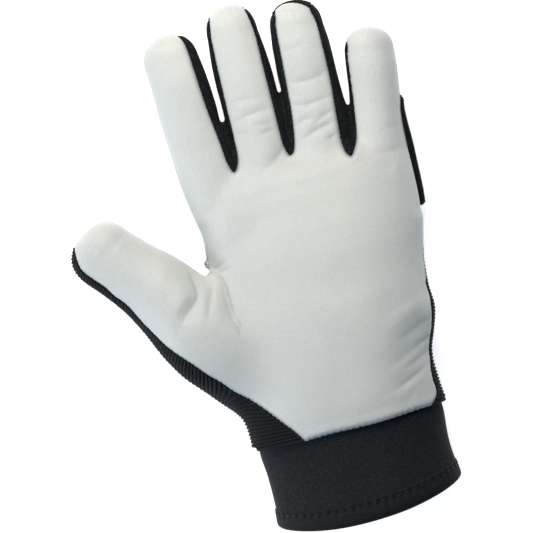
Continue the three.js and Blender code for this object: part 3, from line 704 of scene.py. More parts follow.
def panel_of(chosen):
    """The points, triangles and normals of some of the skin's faces, without loose crumbs."""
    faces = skin_faces[chosen]
    used, number = np.unique(faces, return_inverse=True)
    faces = number.reshape(-1, 3)
    label = np.arange(len(used))
    pairs = edges_of(faces)
    while True:
        lowest = np.minimum(label[pairs[:, 0]], label[pairs[:, 1]])
        before = label.copy()
        np.minimum.at(label, pairs[:, 0], lowest)
        np.minimum.at(label, pairs[:, 1], lowest)
        label = label[label]
        if (label == before).all():
            break
    names, count = np.unique(label[faces[:, 0]], return_counts=True)
    faces = faces[label[faces[:, 0]] == names[count.argmax()]]
    kept, number = np.unique(faces, return_inverse=True)
    return skin[used][kept], number.reshape(-1, 3), skin_normals[used][kept]


def rim_of(points, faces):
    """Points on a panel's open edges, in order, and how far along the edge each one is."""
    half = np.concatenate([faces[:, [0, 1]], faces[:, [1, 2]], faces[:, [2, 0]]])
    key = half.min(axis=1) * (len(points) + 1) + half.max(axis=1)
    unique, first, count = np.unique(key, return_index=True, return_counts=True)
    follow = dict(half[first[count == 1]].tolist())
    rim, along = [], []
    while follow:
        start, place_now = next(iter(follow)), 0.0
        now = start
        while now in follow:
            rim.append(now)
            along.append(place_now)
            after = follow.pop(now)
            place_now += float(np.linalg.norm(points[after] - points[now]))
            now = after
    return np.array(rim), np.array(along)


def edge_facts(points, faces):
    """For each point of a panel, how far the nearest edge is and where along that edge."""
    rim, along = rim_of(points, faces)
    tree = kdtree.KDTree(len(rim))
    for number, i in enumerate(rim):
        tree.insert(points[i], number)
    tree.balance()
    found = [tree.find(p) for p in points]
    return np.array([f[2] for f in found]), along[[f[1] for f in found]]


def walled(piece, thickness):
    """Gives a sheet its thickness, inwards from the face that shows."""
    wall = piece.modifiers.new("wall", "SOLIDIFY")
    wall.thickness = thickness * MM
    wall.offset = -1


def sewn_panel(name, chosen, wall, dip, dip_width, swell=0.0, lift=0.0, creased=False):
    """A panel cut from the skin: drawn in at its seams by a dip with small puckers, swollen beside them,
    lifted from the skin elsewhere, and given its wall inwards."""
    points, faces, normals = panel_of(chosen)
    edge, along = edge_facts(points, faces)
    pucker = pucker_depth * np.sin(along * 2 * np.pi / stitch_pitch)
    shift = swell * np.exp(-(((edge - swell_place) / swell_width) ** 2))
    shift -= dip * np.exp(-((edge / dip_width) ** 2))
    shift += pucker * np.exp(-((edge / pucker_width) ** 2))
    shift += lift * (1 - np.exp(-((edge / lift_width) ** 2)))
    points = points + normals * shift[:, None]
    # The crease value is kept to paint shade into the leather's creases, and the edge distance to paint
    # shade along its seams
    marks = {"edge": edge, "crease": crease_at(points)} if creased else {}
    piece = write_mesh(name, points, faces, marks)
    walled(piece, wall)
    return piece


leather = sewn_panel("leather_palm", in_glove & in_leather & ~in_any_gusset, leather_wall, dip=0.65,
                     dip_width=0.75, swell=0.3, creased=True)


def linear(hex_colour):
    """An sRGB hex colour as the linear numbers that a shader takes."""
    parts = [int(hex_colour[i:i + 2], 16) / 255 for i in (1, 3, 5)]
    return [p / 12.92 if p <= 0.04045 else ((p + 0.055) / 1.055) ** 2.4 for p in parts] + [1.0]


def add_node(tree, kind, values=None, links=None, **settings):
    """Adds a node with its settings, socket values and incoming links."""
    node = tree.nodes.new(kind)
    for key, value in settings.items():
        setattr(node, key, value)
    for socket, value in (values or {}).items():
        node.inputs[socket].default_value = value
    for socket, source in (links or {}).items():
        tree.links.new(source, node.inputs[socket])
    return node


def blank_material(name):
    """A new material with no nodes, and its tree."""
    material = bpy.data.materials.new(name)
    material.use_nodes = True
    material.node_tree.nodes.clear()
    return material, material.node_tree


def surfaced(material, height, bump, colour, looks):
    """Ends a material: a bump of some strength and depth in millimetres, the colour and the shader."""
    tree = material.node_tree
    strength, depth = bump
    raised = add_node(tree, "ShaderNodeBump", values={"Strength": strength, "Distance": depth * MM},
                      links={"Height": height})
    shader = add_node(tree, "ShaderNodeBsdfPrincipled", values=looks,
                      links={"Base Color": colour.outputs[2], "Normal": raised.outputs["Normal"]})
    add_node(tree, "ShaderNodeOutputMaterial", links={"Surface": shader.outputs["BSDF"]})
    return material


# The grain's short parallel lines: slant in degrees, length and spacing of a line. Real goat grain is
# about 0.2 mm apart, and is drawn coarser to show.
grain_slant = 33
grain_run = 1.3
grain_pitch = 0.42
pore_spacing = 1.11
tone_patch = 35.7
# How far from a seam the painted seam shade reaches, in millimetres
seam_shade_width = 2.2


def goat_leather():
    """Drum-dyed goatskin: a soft satin face with fine parallel grain. Painted shade greys it along its seams
    and in its creases.
    """
    material, tree = blank_material("goat_leather")
    where = add_node(tree, "ShaderNodeTexCoord")
    grain_lines = add_node(tree, "ShaderNodeMapping", values={
        "Rotation": (0, 0, math.radians(grain_slant)),
        "Scale": (grain_run * MM, grain_pitch * MM, grain_run * MM),
    }, links={"Vector": where.outputs["Object"]}, vector_type="TEXTURE")
    grain = add_node(tree, "ShaderNodeTexNoise", values={"Scale": 1.0, "Detail": 3.0, "Roughness": 0.6},
                     links={"Vector": grain_lines.outputs["Vector"]})
    pores = add_node(tree, "ShaderNodeTexVoronoi", values={"Scale": 1 / (pore_spacing * MM)},
                     links={"Vector": where.outputs["Object"]})
    tone = add_node(tree, "ShaderNodeTexNoise", values={"Scale": 1 / (tone_patch * MM), "Detail": 2.0},
                    links={"Vector": where.outputs["Object"]})
    # Painted shade: the leather greys towards its seams, where they dip in
    edge = add_node(tree, "ShaderNodeAttribute", attribute_name="edge")
    near_edge = add_node(tree, "ShaderNodeMapRange", values={
        "From Min": 0.0, "From Max": seam_shade_width, "To Min": 1.0, "To Max": 0.0,
    }, links={"Value": edge.outputs["Fac"]})
    base = add_node(tree, "ShaderNodeMix", data_type="RGBA", values={
        6: linear("#DDDFDC"), 7: linear("#CFD4D5"),
    }, links={0: tone.outputs["Fac"]})
    grained = add_node(tree, "ShaderNodeMix", data_type="RGBA", blend_type="MULTIPLY", values={0: 0.34},
                       links={6: base.outputs[2], 7: grain.outputs["Fac"]})
    seam_shaded = add_node(tree, "ShaderNodeMix", data_type="RGBA", values={7: linear("#8D969A")},
                      links={0: near_edge.outputs["Result"], 6: grained.outputs[2]})
    # Painted shade: the leather greys in the bottom of its creases
    crease = add_node(tree, "ShaderNodeAttribute", attribute_name="crease")
    shade = add_node(tree, "ShaderNodeMath", operation="MULTIPLY", values={1: 0.55},
                     links={0: crease.outputs["Fac"]})
    crease_shaded = add_node(tree, "ShaderNodeMix", data_type="RGBA", values={7: linear("#8D969A")},
                      links={0: shade.outputs[0], 6: seam_shaded.outputs[2]})
    height = add_node(tree, "ShaderNodeMath", operation="MULTIPLY_ADD", values={1: 0.35},
                      links={0: pores.outputs["Distance"], 2: grain.outputs["Fac"]})
    return surfaced(material, height.outputs[0], (0.36, 0.2), crease_shaded, {
        "Roughness": 0.55, "IOR": 1.45, "Sheen Weight": 0.15, "Sheen Roughness": 0.5,
    })


leather.data.materials.append(goat_leather())
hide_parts("palm_leather")
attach(leather, "root")


# Fourchettes
# Strips of smooth black knit between the fingers, each sewn to two finger fronts and two backs.
# They are the narrow V-shaped bands that the skin leaves between the leather's finger seams.
strip_wall = 0.9

# Real loops are about 0.4 mm wide and lint is finer still. Both are drawn coarser to show.
loop_spacing = 0.714
wear_patch = 4.55
lint_size = 1.0


def smooth_knit():
    """Fine-gauge polyester knit: matt, almost black, with a faint net of loops and a little lint."""
    material, tree = blank_material("smooth_knit")
    where = add_node(tree, "ShaderNodeTexCoord")
    loops = add_node(tree, "ShaderNodeTexVoronoi", values={"Scale": 1 / (loop_spacing * MM)},
                     links={"Vector": where.outputs["Object"]})
    wear = add_node(tree, "ShaderNodeTexNoise", values={"Scale": 1 / (wear_patch * MM), "Detail": 4.0},
                    links={"Vector": where.outputs["Object"]})
    colour = add_node(tree, "ShaderNodeMix", data_type="RGBA", values={
        6: linear("#060709"), 7: linear("#1C1F22"),
    }, links={0: wear.outputs["Fac"]})
    fluff = add_node(tree, "ShaderNodeTexNoise", values={"Scale": 1 / (lint_size * MM), "Detail": 1.0},
                     links={"Vector": where.outputs["Object"]})
    lint = add_node(tree, "ShaderNodeMapRange", values={"From Min": 0.58, "From Max": 0.8, "To Max": 0.14},
                    links={"Value": fluff.outputs["Fac"]})
    linty = add_node(tree, "ShaderNodeMix", data_type="RGBA", values={7: linear("#80858A")},
                     links={0: lint.outputs["Result"], 6: colour.outputs[2]})
    return surfaced(material, loops.outputs["Distance"], (0.4, 0.2), linty, {
        "Roughness": 0.85, "IOR": 1.5, "Specular IOR Level": 0.12,
        "Sheen Weight": 0.06, "Sheen Roughness": 0.5, "Sheen Tint": linear("#8A9094"),
    })


fourchette_cloth = smooth_knit()
for name, chosen in in_gusset.items():
    strip = sewn_panel(name.replace("fourchette", "strip"), in_glove & chosen, strip_wall, dip=0.55,
                       dip_width=0.8, swell=0.1)
    strip.data.materials.append(fourchette_cloth)
    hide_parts(name)
    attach(strip, "root")


# Back
# Black stretch knit with raised round ribs: the back of the hand, fingers and thumb, wrapped round the
# thumb's outer side to the palm. The ribs run across the hand and follow the cloth round its bends.
back_wall = 1.0
rib_pitch = 1.65
rib_radius = 0.76
cord_step = 1.8
under_hand = -0.75
wrist_strip = 3.4
direction_passes = 160
distance_passes = 700

back = sewn_panel("back_cloth", in_glove & ~in_leather & ~in_any_gusset, back_wall, dip=0.3,
                  dip_width=0.9, lift=-0.5)


def cloth_distance(points, faces, normals):
    """Distance along the cloth from the wrist, laid out flat, so that the ribs stay parallel. Where the
    cloth lies under the hand or at the wrist it is simply y. From there the passes first spread the
    direction of the cloth's length round the sides, and then the distance along it."""
    edges = edges_of(faces)
    count = len(points)
    flat = (normals[:, 2] < under_hand) | (points[:, 1] < wrist_y + wrist_strip)
    warp = np.zeros((count, 3))
    warp[flat, 1] = 1.0
    for turn in range(direction_passes):
        spread = neighbour_mean(edges, warp, count)
        spread -= normals * (spread * normals).sum(axis=1, keepdims=True)
        size = np.linalg.norm(spread, axis=1, keepdims=True)
        spread = np.where(size > 1e-6, spread / np.maximum(size, 1e-6), 0)
        warp = np.where(flat[:, None], warp, spread)
    distance = points[:, 1].copy()
    i, j = edges[:, 0], edges[:, 1]
    step = ((warp[i] + warp[j]) / 2 * (points[i] - points[j])).sum(axis=1)
    number = np.bincount(i, minlength=count) + np.bincount(j, minlength=count)
    for turn in range(distance_passes):
        total = np.bincount(i, weights=distance[j] + step, minlength=count)
        total += np.bincount(j, weights=distance[i] - step, minlength=count)
        distance = np.where(flat, distance, total / np.maximum(number, 1))
    return distance


def level_lines(points, faces, value, pitch):
    """Short lines over a mesh wherever a value passes a multiple of the pitch."""
    level = value / pitch
    lowest = np.floor(level[faces].min(axis=1)).astype(int)
    starts, ends, found = {}, [], []
    for extra in (1, 2, 3):
        wanted = lowest + extra
        above = level[faces] > wanted[:, None]
        crossed = np.nonzero(above.any(axis=1) & ~above.all(axis=1))[0]
        for face in crossed:
            corners = faces[face]
            pair = []
            for a, b in ((0, 1), (1, 2), (2, 0)):
                if above[face, a] != above[face, b]:
                    p, q = sorted((int(corners[a]), int(corners[b])))
                    key = (p, q, int(wanted[face]))
                    if key not in starts:
                        share = (wanted[face] - level[p]) / (level[q] - level[p])
                        starts[key] = len(found)
                        found.append(points[p] * (1 - share) + points[q] * share)
                    pair.append(starts[key])
            ends.append(pair)
    return np.array(found), ends


def ribs_tree(material):
    """Geometry Nodes: joins short lines into cords, evens them out and gives them a round section."""
    tree = bpy.data.node_groups.new("ribs", "GeometryNodeTree")
    tree.interface.new_socket("Geometry", in_out="INPUT", socket_type="NodeSocketGeometry")
    for name, value in (("Rib radius", 0.001), ("Step", 0.002)):
        socket = tree.interface.new_socket(name, in_out="INPUT", socket_type="NodeSocketFloat")
        socket.default_value = value
    tree.interface.new_socket("Geometry", in_out="OUTPUT", socket_type="NodeSocketGeometry")
    given = add_node(tree, "NodeGroupInput")
    lines = add_node(tree, "GeometryNodeMeshToCurve", links={"Mesh": given.outputs["Geometry"]})
    even = add_node(tree, "GeometryNodeResampleCurve", links={
        "Curve": lines.outputs["Curve"], "Length": given.outputs["Step"],
    }, mode="LENGTH")
    section = add_node(tree, "GeometryNodeCurvePrimitiveCircle", values={"Resolution": 5},
                       links={"Radius": given.outputs["Rib radius"]})
    cords = add_node(tree, "GeometryNodeCurveToMesh", values={"Fill Caps": True}, links={
        "Curve": even.outputs["Curve"], "Profile Curve": section.outputs["Curve"],
    })
    whole = add_node(tree, "GeometryNodeRealizeInstances", links={"Geometry": cords.outputs["Mesh"]})
    clothed = add_node(tree, "GeometryNodeSetMaterial", values={"Material": material},
                       links={"Geometry": whole.outputs["Geometry"]})
    add_node(tree, "NodeGroupOutput", links={"Geometry": clothed.outputs["Geometry"]})
    return tree


def set_input(modifier, name, value):
    """Sets a Geometry Nodes input by its socket's identifier."""
    for item in modifier.node_group.interface.items_tree:
        if item.item_type == "SOCKET" and item.in_out == "INPUT" and item.name == name:
            modifier[item.identifier] = value


# Real yarn is about 0.3 mm thick, and is drawn coarser to show
yarn_size = 0.909
worn_patch = 25


def ribbed_knit():
    """Stretch knit with corded ribs: matt black yarn, fuzzy close up and unevenly worn."""
    material, tree = blank_material("ribbed_knit")
    where = add_node(tree, "ShaderNodeTexCoord")
    yarn = add_node(tree, "ShaderNodeTexNoise", values={"Scale": 1 / (yarn_size * MM), "Detail": 2.0},
                    links={"Vector": where.outputs["Object"]})
    worn = add_node(tree, "ShaderNodeTexNoise", values={"Scale": 1 / (worn_patch * MM), "Detail": 3.0},
                    links={"Vector": where.outputs["Object"]})
    colour = add_node(tree, "ShaderNodeMix", data_type="RGBA", values={
        6: linear("#0A0B0D"), 7: linear("#1D2023"),
    }, links={0: worn.outputs["Fac"]})
    return surfaced(material, yarn.outputs["Fac"], (0.5, 0.25), colour, {
        "Roughness": 0.8, "IOR": 1.5, "Specular IOR Level": 0.15,
        "Sheen Weight": 0.07, "Sheen Roughness": 0.45, "Sheen Tint": linear("#8A9094"),
    })


back_knit = ribbed_knit()
back.data.materials.append(back_knit)
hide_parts("back_panel")
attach(back, "root")

# Outline of the knuckle band, under which the ribs stop, in palm shares
band_outline = np.array([place(p) for p in (
    (-0.8, 0.73), (-0.4, 0.72), (0.4, 0.712), (1.6, 0.71), (1.6, 1.11),
    (1.02, 1.12), (0.78, 1.08), (0.66, 0.94), (0.58, 0.94), (0.5, 1.06), (0.3, 1.1), (0.2, 1.08),
    (0.13, 0.97), (0.08, 0.97), (0.02, 1.08), (-0.14, 1.12), (-0.3, 1.08), (-0.38, 0.97),
    (-0.43, 0.97), (-0.5, 1.06), (-0.64, 1.1), (-0.76, 1.06), (-0.84, 1.0),
)])
band_side = 15.5
band_overlap = 1.5


def line_object(name, points, lines):
    """An object that holds only lines, for Geometry Nodes to build on."""
    mesh = bpy.data.meshes.new(name)
    mesh.from_pydata((points * MM).tolist(), lines, [])
    piece = bpy.data.objects.new(name, mesh)
    bpy.context.scene.collection.objects.link(piece)
    return piece


def grown(piece, tree, inputs):
    """Runs a Geometry Nodes tree on a piece with its inputs, and keeps the result as a smooth mesh."""
    maker = piece.modifiers.new("maker", "NODES")
    maker.node_group = tree
    for name, value in inputs.items():
        set_input(maker, name, value)
    made_plain(piece)
    piece.data.shade_smooth()


def corded(name, surface, value, pitch, radius, material, covered=None):
    """Round cords laid over a surface wherever a value passes a multiple of the pitch."""
    points, faces = surface
    line_points, lines = level_lines(points, faces, value, pitch)
    if covered:
        under = covered(line_points)
        lines = [pair for pair in lines if not under[pair].any()]
    cords = line_object(name, line_points, lines)
    grown(cords, ribs_tree(material), {"Rib radius": radius * MM, "Step": cord_step * MM})
    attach(cords, "root")
    return cords


def under_band(points):
    """Which points the knuckle band covers."""
    return (inside(points, band_outline) > band_overlap) & (points[:, 2] < band_side - band_overlap)


back_surface = mesh_arrays(back.data)
across_back = cloth_distance(*back_surface, normals_of(*back_surface))
ribs = corded("back_ribs", back_surface, across_back, rib_pitch, rib_radius, back_knit, under_band)


# Knuckle band
# A padded strip of fine black weave sewn across the knuckles, with a square-cut end that stands proud
# at the little finger's side. The glove rests on it.
band_lift = 1.8
band_wall = 1.6
band_edge = 0.6
band_round = 0.8

# The weave's cords are a real fabric's, drawn a little coarser to show
weave_pitch = 0.95
weave_radius = 0.42
weave_slant = 0.02


def band_side_of(points):
    """Above zero on the skin under the knuckle band."""
    return np.minimum(inside(points, band_outline), band_side - points[:, 2])


band_skin, band_faces = cut_along(skin, skin_faces, band_side_of(skin))
band_normals = normals_of(band_skin, band_faces)
in_band = band_side_of(band_skin[band_faces].mean(axis=1)) > 0
used, number = np.unique(band_faces[in_band], return_inverse=True)
points, faces, normals = band_skin[used], number.reshape(-1, 3), band_normals[used]

# It is thin where it is sewn down, and thickest at its end, where it tapers from the palm to the finger
edge = edge_facts(points, faces)[0]
away, share, side = away_from_line(points, band_end)
thicker = 2.3 - 1.2 * share - 1.3 * np.clip(share / 0.4 - 1.5, 0, 1)
thicker *= np.exp(-((away / 7) ** 2))
swollen = band_edge + (band_lift + thicker - band_edge) * (1 - np.exp(-((edge / band_round) ** 2)))
points = points + normals * swollen[:, None]
points[:, 2] = np.maximum(points[:, 2], weave_radius)
band = write_mesh("knuckle_pad", points, faces)
walled(band, band_wall)

# Real filaments are about 0.2 mm thick, and the nap finer still. Both are drawn coarser to show. At a
# scale of 1 a wave texture turns by wave_turn radians in a metre.
filament_pitch = 0.897
band_nap = 1.43
wave_turn = 20


def padded_weave():
    """Close black weave over thin foam: fine lines between its cords, dull, with a faint grey nap."""
    material, tree = blank_material("padded_weave")
    where = add_node(tree, "ShaderNodeTexCoord")
    lines = add_node(tree, "ShaderNodeTexWave", bands_direction="Y", values={
        "Scale": math.tau / (wave_turn * filament_pitch * MM), "Distortion": 0.4, "Detail": 1.0,
    }, links={"Vector": where.outputs["Object"]})
    nap = add_node(tree, "ShaderNodeTexNoise", values={"Scale": 1 / (band_nap * MM), "Detail": 3.0},
                   links={"Vector": where.outputs["Object"]})
    colour = add_node(tree, "ShaderNodeMix", data_type="RGBA", values={
        6: linear("#0A0B0D"), 7: linear("#1C1F22"),
    }, links={0: nap.outputs["Fac"]})
    return surfaced(material, lines.outputs["Fac"], (0.6, 0.3), colour, {
        "Roughness": 0.82, "IOR": 1.5, "Specular IOR Level": 0.12,
        "Sheen Weight": 0.06, "Sheen Roughness": 0.5, "Sheen Tint": linear("#8A9094"),
    })


band_cloth = padded_weave()
band.data.materials.append(band_cloth)
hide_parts("knuckle_band")
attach(band, "root")
across_band = points[:, 1] + weave_slant * points[:, 0]
weave = corded("knuckle_weave", (points, faces), across_band, weave_pitch, weave_radius, band_cloth)


# Cuff
# A tube of foam-backed black fabric, its top edge sewn inside the hand. It is soft and even, with a
# very slight waist, and reaches further down on the palm side.
cuff_length = 36.2
cuff_half = 45.0
cuff_depth = 47.5
cuff_wall = 3.0
hem_sag = 6.2
hem_tilt = 0.8
cuff_x = centre_x - 0.1

# at (0 wrist, 1 hem), half (share of cuff_half), low, high (shares of cuff_depth), sag (share of hem_sag)
cuff_rows = [
    (-0.16, 1.0, 0.07, 0.985, 0.0),
    (0.0, 1.0, 0.065, 1.0, 0.0),
    (0.1, 1.0, 0.03, 0.99, 0.05),
    (0.3, 0.99, 0.0, 0.97, 0.2),
    (0.6, 0.985, 0.0, 0.97, 0.5),
    (0.85, 0.995, 0.0, 0.99, 0.85),
    (1.0, 1.005, 0.0, 1.0, 1.0),
    (1.1, 1.005, 0.0, 1.0, 1.1),
]


def cuff_rings(at, inset, around):
    """Rings of points of the cuff at some shares of its length, moved inwards by an inset."""
    across, rise, up = squared_round(np.arange(around) / around * 2 * np.pi)
    half = row_value(cuff_rows, 1, at) * cuff_half - inset
    low = row_value(cuff_rows, 2, at) * cuff_depth + inset
    high = row_value(cuff_rows, 3, at) * cuff_depth - inset
    waist = low + (high - low) * waist_share
    points = np.empty((len(at), around, 3))
    reach = np.where(up, (high - waist)[:, None], (waist - low)[:, None])
    points[:, :, 0] = cuff_x + half[:, None] * across
    points[:, :, 2] = waist[:, None] + reach * rise
    drop = row_value(cuff_rows, 4, at)[:, None]
    sag = drop * (hem_sag * np.maximum(rise, 0) ** 2 - hem_tilt * across)
    points[:, :, 1] = wrist_y - (at * cuff_length)[:, None] - sag
    return points


def out_of_cuff(points):
    """Directions straight out from the middle of the cuff."""
    out = points - (centre_x, 0, cuff_depth / 2)
    out[:, 1] = 0
    return out / np.linalg.norm(out, axis=1, keepdims=True)


def ring_faces(rings, around, close_ends=False):
    """Faces between rings of points, and with close_ends also from the last ring back to the first."""
    faces = []
    for r in range(rings - 1 + close_ends):
        for i in range(around):
            a = r * around + i
            b = r * around + (i + 1) % around
            c = (r + 1) % rings * around + (i + 1) % around
            d = (r + 1) % rings * around + i
            faces.append((a, b, c, d))
    return faces


cuff_around = 260
cuff_steps = np.linspace(-0.14, 0.97, 60)
cuff_points = cuff_rings(cuff_steps, 0.0, cuff_around).reshape(-1, 3)
soft = unevenness(cuff_points, [(0.35, 17, 5), (0.12, 6, 6)])
cuff_points += out_of_cuff(cuff_points) * soft[:, None]
cuff_points[:, 2] = np.maximum(cuff_points[:, 2], 0.2)
cuff = write_mesh("cuff_tube", cuff_points, ring_faces(len(cuff_steps), cuff_around))
walled(cuff, cuff_wall)

# The real nap is finer, and is drawn coarser to show
foam_mottle = 1.43
foam_nap = 0.526


def foam_backed_fabric():
    """Brushed nylon over neoprene foam: soft charcoal, faintly mottled, with a fine nap."""
    material, tree = blank_material("foam_backed_fabric")
    where = add_node(tree, "ShaderNodeTexCoord")
    mottle = add_node(tree, "ShaderNodeTexNoise", values={
        "Scale": 1 / (foam_mottle * MM), "Detail": 5.0, "Roughness": 0.8,
    }, links={"Vector": where.outputs["Object"]})
    colour = add_node(tree, "ShaderNodeMix", data_type="RGBA", values={
        6: linear("#0A0B0D"), 7: linear("#2A2D30"),
    }, links={0: mottle.outputs["Fac"]})
    nap = add_node(tree, "ShaderNodeTexNoise", values={"Scale": 1 / (foam_nap * MM), "Detail": 2.0},
                   links={"Vector": where.outputs["Object"]})
    speck = add_node(tree, "ShaderNodeMapRange", values={"From Min": 0.5, "From Max": 0.8, "To Max": 0.16},
                     links={"Value": nap.outputs["Fac"]})
    specked = add_node(tree, "ShaderNodeMix", data_type="RGBA", values={7: linear("#7C8286")},
                       links={0: speck.outputs["Result"], 6: colour.outputs[2]})
    return surfaced(material, nap.outputs["Fac"], (0.3, 0.2), specked, {
        "Roughness": 0.88, "IOR": 1.5, "Specular IOR Level": 0.12,
        "Sheen Weight": 0.16, "Sheen Roughness": 0.4, "Sheen Tint": linear("#9AA1A6"),
    })


cuff.data.materials.append(foam_backed_fabric())
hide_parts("cuff")
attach(cuff, "root")


# Hem binding
# Folded black tape round the cuff's lower edge, with a rolled fold at the bottom and a line of long
# stitches near its upper edge, which pull small dimples into it.
tape_height = 8.0
tape_around = 520
stitch_length = 2.6
stitch_step = 4.0
stitch_line = 1.9
thread_radius = 0.28
thread_out = 0.45
seam_steps = 400
dimple_depth = 0.3
dimple_width = 1.3
tape_fit = 0.1

# out: distance out from the cuff's face; up: distance up from the hem, over the outside, round the fold
# and back inside
tape_rows = [
    (0.05, 8.1), (0.4, 8.0), (0.55, 7.7), (0.55, 6.9), (0.35, 6.3), (0.35, 5.8), (0.6, 5.0), (0.75, 3.6),
    (0.75, 2.2), (0.65, 1.0), (0.3, 0.1), (-0.5, -0.7), (-1.7, -1.0), (-2.9, -0.7), (-3.7, 0.1),
    (-4.0, 1.5), (-4.1, 4.0), (-4.0, 7.0), (-3.3, 7.4), (-1.6, 7.6),
]
outside_rows = 12
tape_rings = []
for out, up in tape_rows:
    tape_rings.append(cuff_rings(np.array([1 - up / cuff_length]), -out, tape_around)[0])
tape_points = np.concatenate(tape_rings)

# The stitches are counted along the ring of the tape that they are nearest to
seam_up = tape_height - stitch_line
ups = np.array([row[1] for row in tape_rows])
hem_run = tape_rings[4]
hem_step = np.linalg.norm(np.roll(hem_run, -1, axis=0) - hem_run, axis=1)
hem_at = np.concatenate([[0], np.cumsum(hem_step)[:-1]])
stitch_count = round(hem_step.sum() / stitch_step)
dimple = np.cos(hem_at / hem_step.sum() * stitch_count * 2 * np.pi)
near_stitch = np.exp(-(((ups - seam_up) / dimple_width) ** 2))
near_stitch[outside_rows:] = 0
pressed = dimple_depth * np.outer(near_stitch, dimple).ravel() - tape_fit
tape_points += out_of_cuff(tape_points) * pressed[:, None]
tape_points[:, 2] = np.maximum(tape_points[:, 2], 0.0)
tape = write_mesh("hem_tape", tape_points, ring_faces(len(tape_rows), tape_around, True))

# The twill's lines, and its nap, which is drawn coarser to show
twill_slant = 40
twill_pitch = 1.047
tape_nap = 2.0


def hem_weave():
    """Narrow polyester tape: dull black with a fine slanting twill."""
    material, tree = blank_material("hem_weave")
    where = add_node(tree, "ShaderNodeTexCoord")
    twill_lines = add_node(tree, "ShaderNodeMapping", values={
        "Rotation": (0, 0, math.radians(twill_slant)),
    }, links={"Vector": where.outputs["Object"]})
    twill = add_node(tree, "ShaderNodeTexWave", values={
        "Scale": math.tau / (wave_turn * twill_pitch * MM), "Distortion": 0.3,
    }, links={"Vector": twill_lines.outputs["Vector"]})
    nap = add_node(tree, "ShaderNodeTexNoise", values={"Scale": 1 / (tape_nap * MM), "Detail": 3.0},
                   links={"Vector": where.outputs["Object"]})
    colour = add_node(tree, "ShaderNodeMix", data_type="RGBA", values={
        6: linear("#0D0E10"), 7: linear("#25282B"),
    }, links={0: nap.outputs["Fac"]})
    return surfaced(material, twill.outputs["Fac"], (0.3, 0.2), colour, {
        "Roughness": 0.75, "IOR": 1.5, "Specular IOR Level": 0.15,
        "Sheen Weight": 0.06, "Sheen Tint": linear("#8A9094"),
    })


tape.data.materials.append(hem_weave())
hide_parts("hem_binding")
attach(tape, "root")


def stitches_tree(material):
    """Geometry Nodes: lays short round threads along a seam line."""
    tree = bpy.data.node_groups.new("stitches", "GeometryNodeTree")
    tree.interface.new_socket("Geometry", in_out="INPUT", socket_type="NodeSocketGeometry")
    tree.interface.new_socket("Stitches", in_out="INPUT", socket_type="NodeSocketInt")
    for name in ("Stitch length", "Thread radius"):
        tree.interface.new_socket(name, in_out="INPUT", socket_type="NodeSocketFloat")
    tree.interface.new_socket("Geometry", in_out="OUTPUT", socket_type="NodeSocketGeometry")
    given = add_node(tree, "NodeGroupInput")
    line = add_node(tree, "GeometryNodeMeshToCurve", links={"Mesh": given.outputs["Geometry"]})
    spaced = add_node(tree, "GeometryNodeCurveToPoints", links={
        "Curve": line.outputs["Curve"], "Count": given.outputs["Stitches"],
    }, mode="COUNT")
    thread = add_node(tree, "GeometryNodeMeshCylinder", values={"Vertices": 6, "Side Segments": 4}, links={
        "Radius": given.outputs["Thread radius"], "Depth": given.outputs["Stitch length"],
    })
    place_on = add_node(tree, "GeometryNodeInstanceOnPoints", links={
        "Points": spaced.outputs["Points"], "Instance": thread.outputs["Mesh"],
        "Rotation": spaced.outputs["Rotation"],
    })
    whole = add_node(tree, "GeometryNodeRealizeInstances",
                     links={"Geometry": place_on.outputs["Instances"]})
    clothed = add_node(tree, "GeometryNodeSetMaterial", values={"Material": material},
                       links={"Geometry": whole.outputs["Geometry"]})
    add_node(tree, "NodeGroupOutput", links={"Geometry": clothed.outputs["Geometry"]})
    return tree


def sewing_thread():
    """Spun polyester thread: black with a slight gloss."""
    material, tree = blank_material("sewing_thread")
    shader = add_node(tree, "ShaderNodeBsdfPrincipled", values={
        "Base Color": linear("#07080A"), "Roughness": 0.6, "IOR": 1.5,
    })
    add_node(tree, "ShaderNodeOutputMaterial", links={"Surface": shader.outputs["BSDF"]})
    return material


# Where the hem lies on the floor, the thread stands clear of it
seam_ring = cuff_rings(np.array([1 - seam_up / cuff_length]), -thread_out, seam_steps)[0]
seam_ring[:, 2] = np.maximum(seam_ring[:, 2], 0.3)
seam_lines = [(i, (i + 1) % seam_steps) for i in range(seam_steps)]
hem_stitches = line_object("hem_stitches", seam_ring, seam_lines)
grown(hem_stitches, stitches_tree(sewing_thread()), {
    "Stitches": stitch_count, "Stitch length": stitch_length * MM, "Thread radius": thread_radius * MM,
})
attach(hem_stitches, "root")


# Floor, light and camera
# A pale studio floor, a round soft light over the fingertips and another at the thumb's side, and a weak
# blue light from all round, seen from straight above with the hand leaning to the left.
floor_half = 3
camera_lean = 15
photo_pixels = 533
pixel_size = 0.48
sensor_width = 36


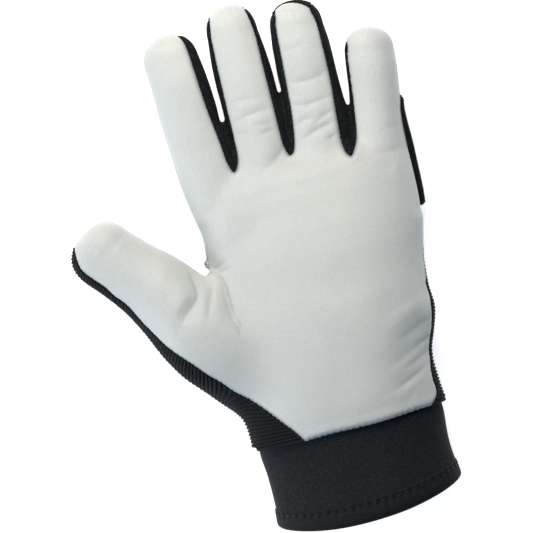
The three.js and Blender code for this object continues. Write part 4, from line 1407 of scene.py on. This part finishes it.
def floor_paint():
    """White acrylic sheet of a product table, lit from behind, so that it stays pale."""
    material, tree = blank_material("studio_floor")
    shader = add_node(tree, "ShaderNodeBsdfPrincipled", values={
        "Base Color": linear("#F2F2F2"), "Roughness": 0.9,
        "Emission Color": linear("#FFFFFF"), "Emission Strength": 0.8,
    })
    add_node(tree, "ShaderNodeOutputMaterial", links={"Surface": shader.outputs["BSDF"]})
    return material


floor_mesh = bpy.data.meshes.new("studio_floor")
floor_corners = [(x * floor_half, y * floor_half, 0) for x, y in ((-1, -1), (1, -1), (1, 1), (-1, 1))]
floor_mesh.from_pydata(floor_corners, [], [(0, 1, 2, 3)])
floor = bpy.data.objects.new("studio_floor", floor_mesh)
bpy.context.scene.collection.objects.link(floor)
floor.data.materials.append(floor_paint())

photo_middle = Vector(photo_centre) * MM


def soft_light(name, offset, size, power, colour):
    """A round lamp that stands off the middle of the photograph and faces it, in metres and watts."""
    light = bpy.data.lights.new(name, "AREA")
    light.shape = "DISK"
    light.size = size
    light.energy = power
    light.color = linear(colour)[:3]
    lamp = bpy.data.objects.new(name, light)
    lamp.location = photo_middle + Vector(offset)
    lamp.rotation_euler = (-Vector(offset)).to_track_quat("-Z", "Y").to_euler()
    bpy.context.scene.collection.objects.link(lamp)


soft_light("key", (0.02, 0.28, 0.32), 0.3, 1.9, "#FFF8E8")
soft_light("left", (-0.5, -0.15, 0.25), 0.3, 1.84, "#F4FAFF")

world = bpy.data.worlds.new("studio")
world.use_nodes = True
background = world.node_tree.nodes["Background"]
background.inputs["Color"].default_value = linear("#A2CDFF")
background.inputs["Strength"].default_value = 0.18
bpy.context.scene.world = world
bpy.context.scene.view_settings.view_transform = "Standard"

camera_data = bpy.data.cameras.new("camera")
camera_data.sensor_width = sensor_width
camera_data.lens = sensor_width * camera_height / (photo_pixels * pixel_size)
camera = bpy.data.objects.new("camera", camera_data)
camera.location = photo_middle + Vector((0, 0, camera_height * MM))
camera.rotation_euler = (0, 0, -math.radians(camera_lean))
bpy.context.scene.collection.objects.link(camera)
bpy.context.scene.camera = camera
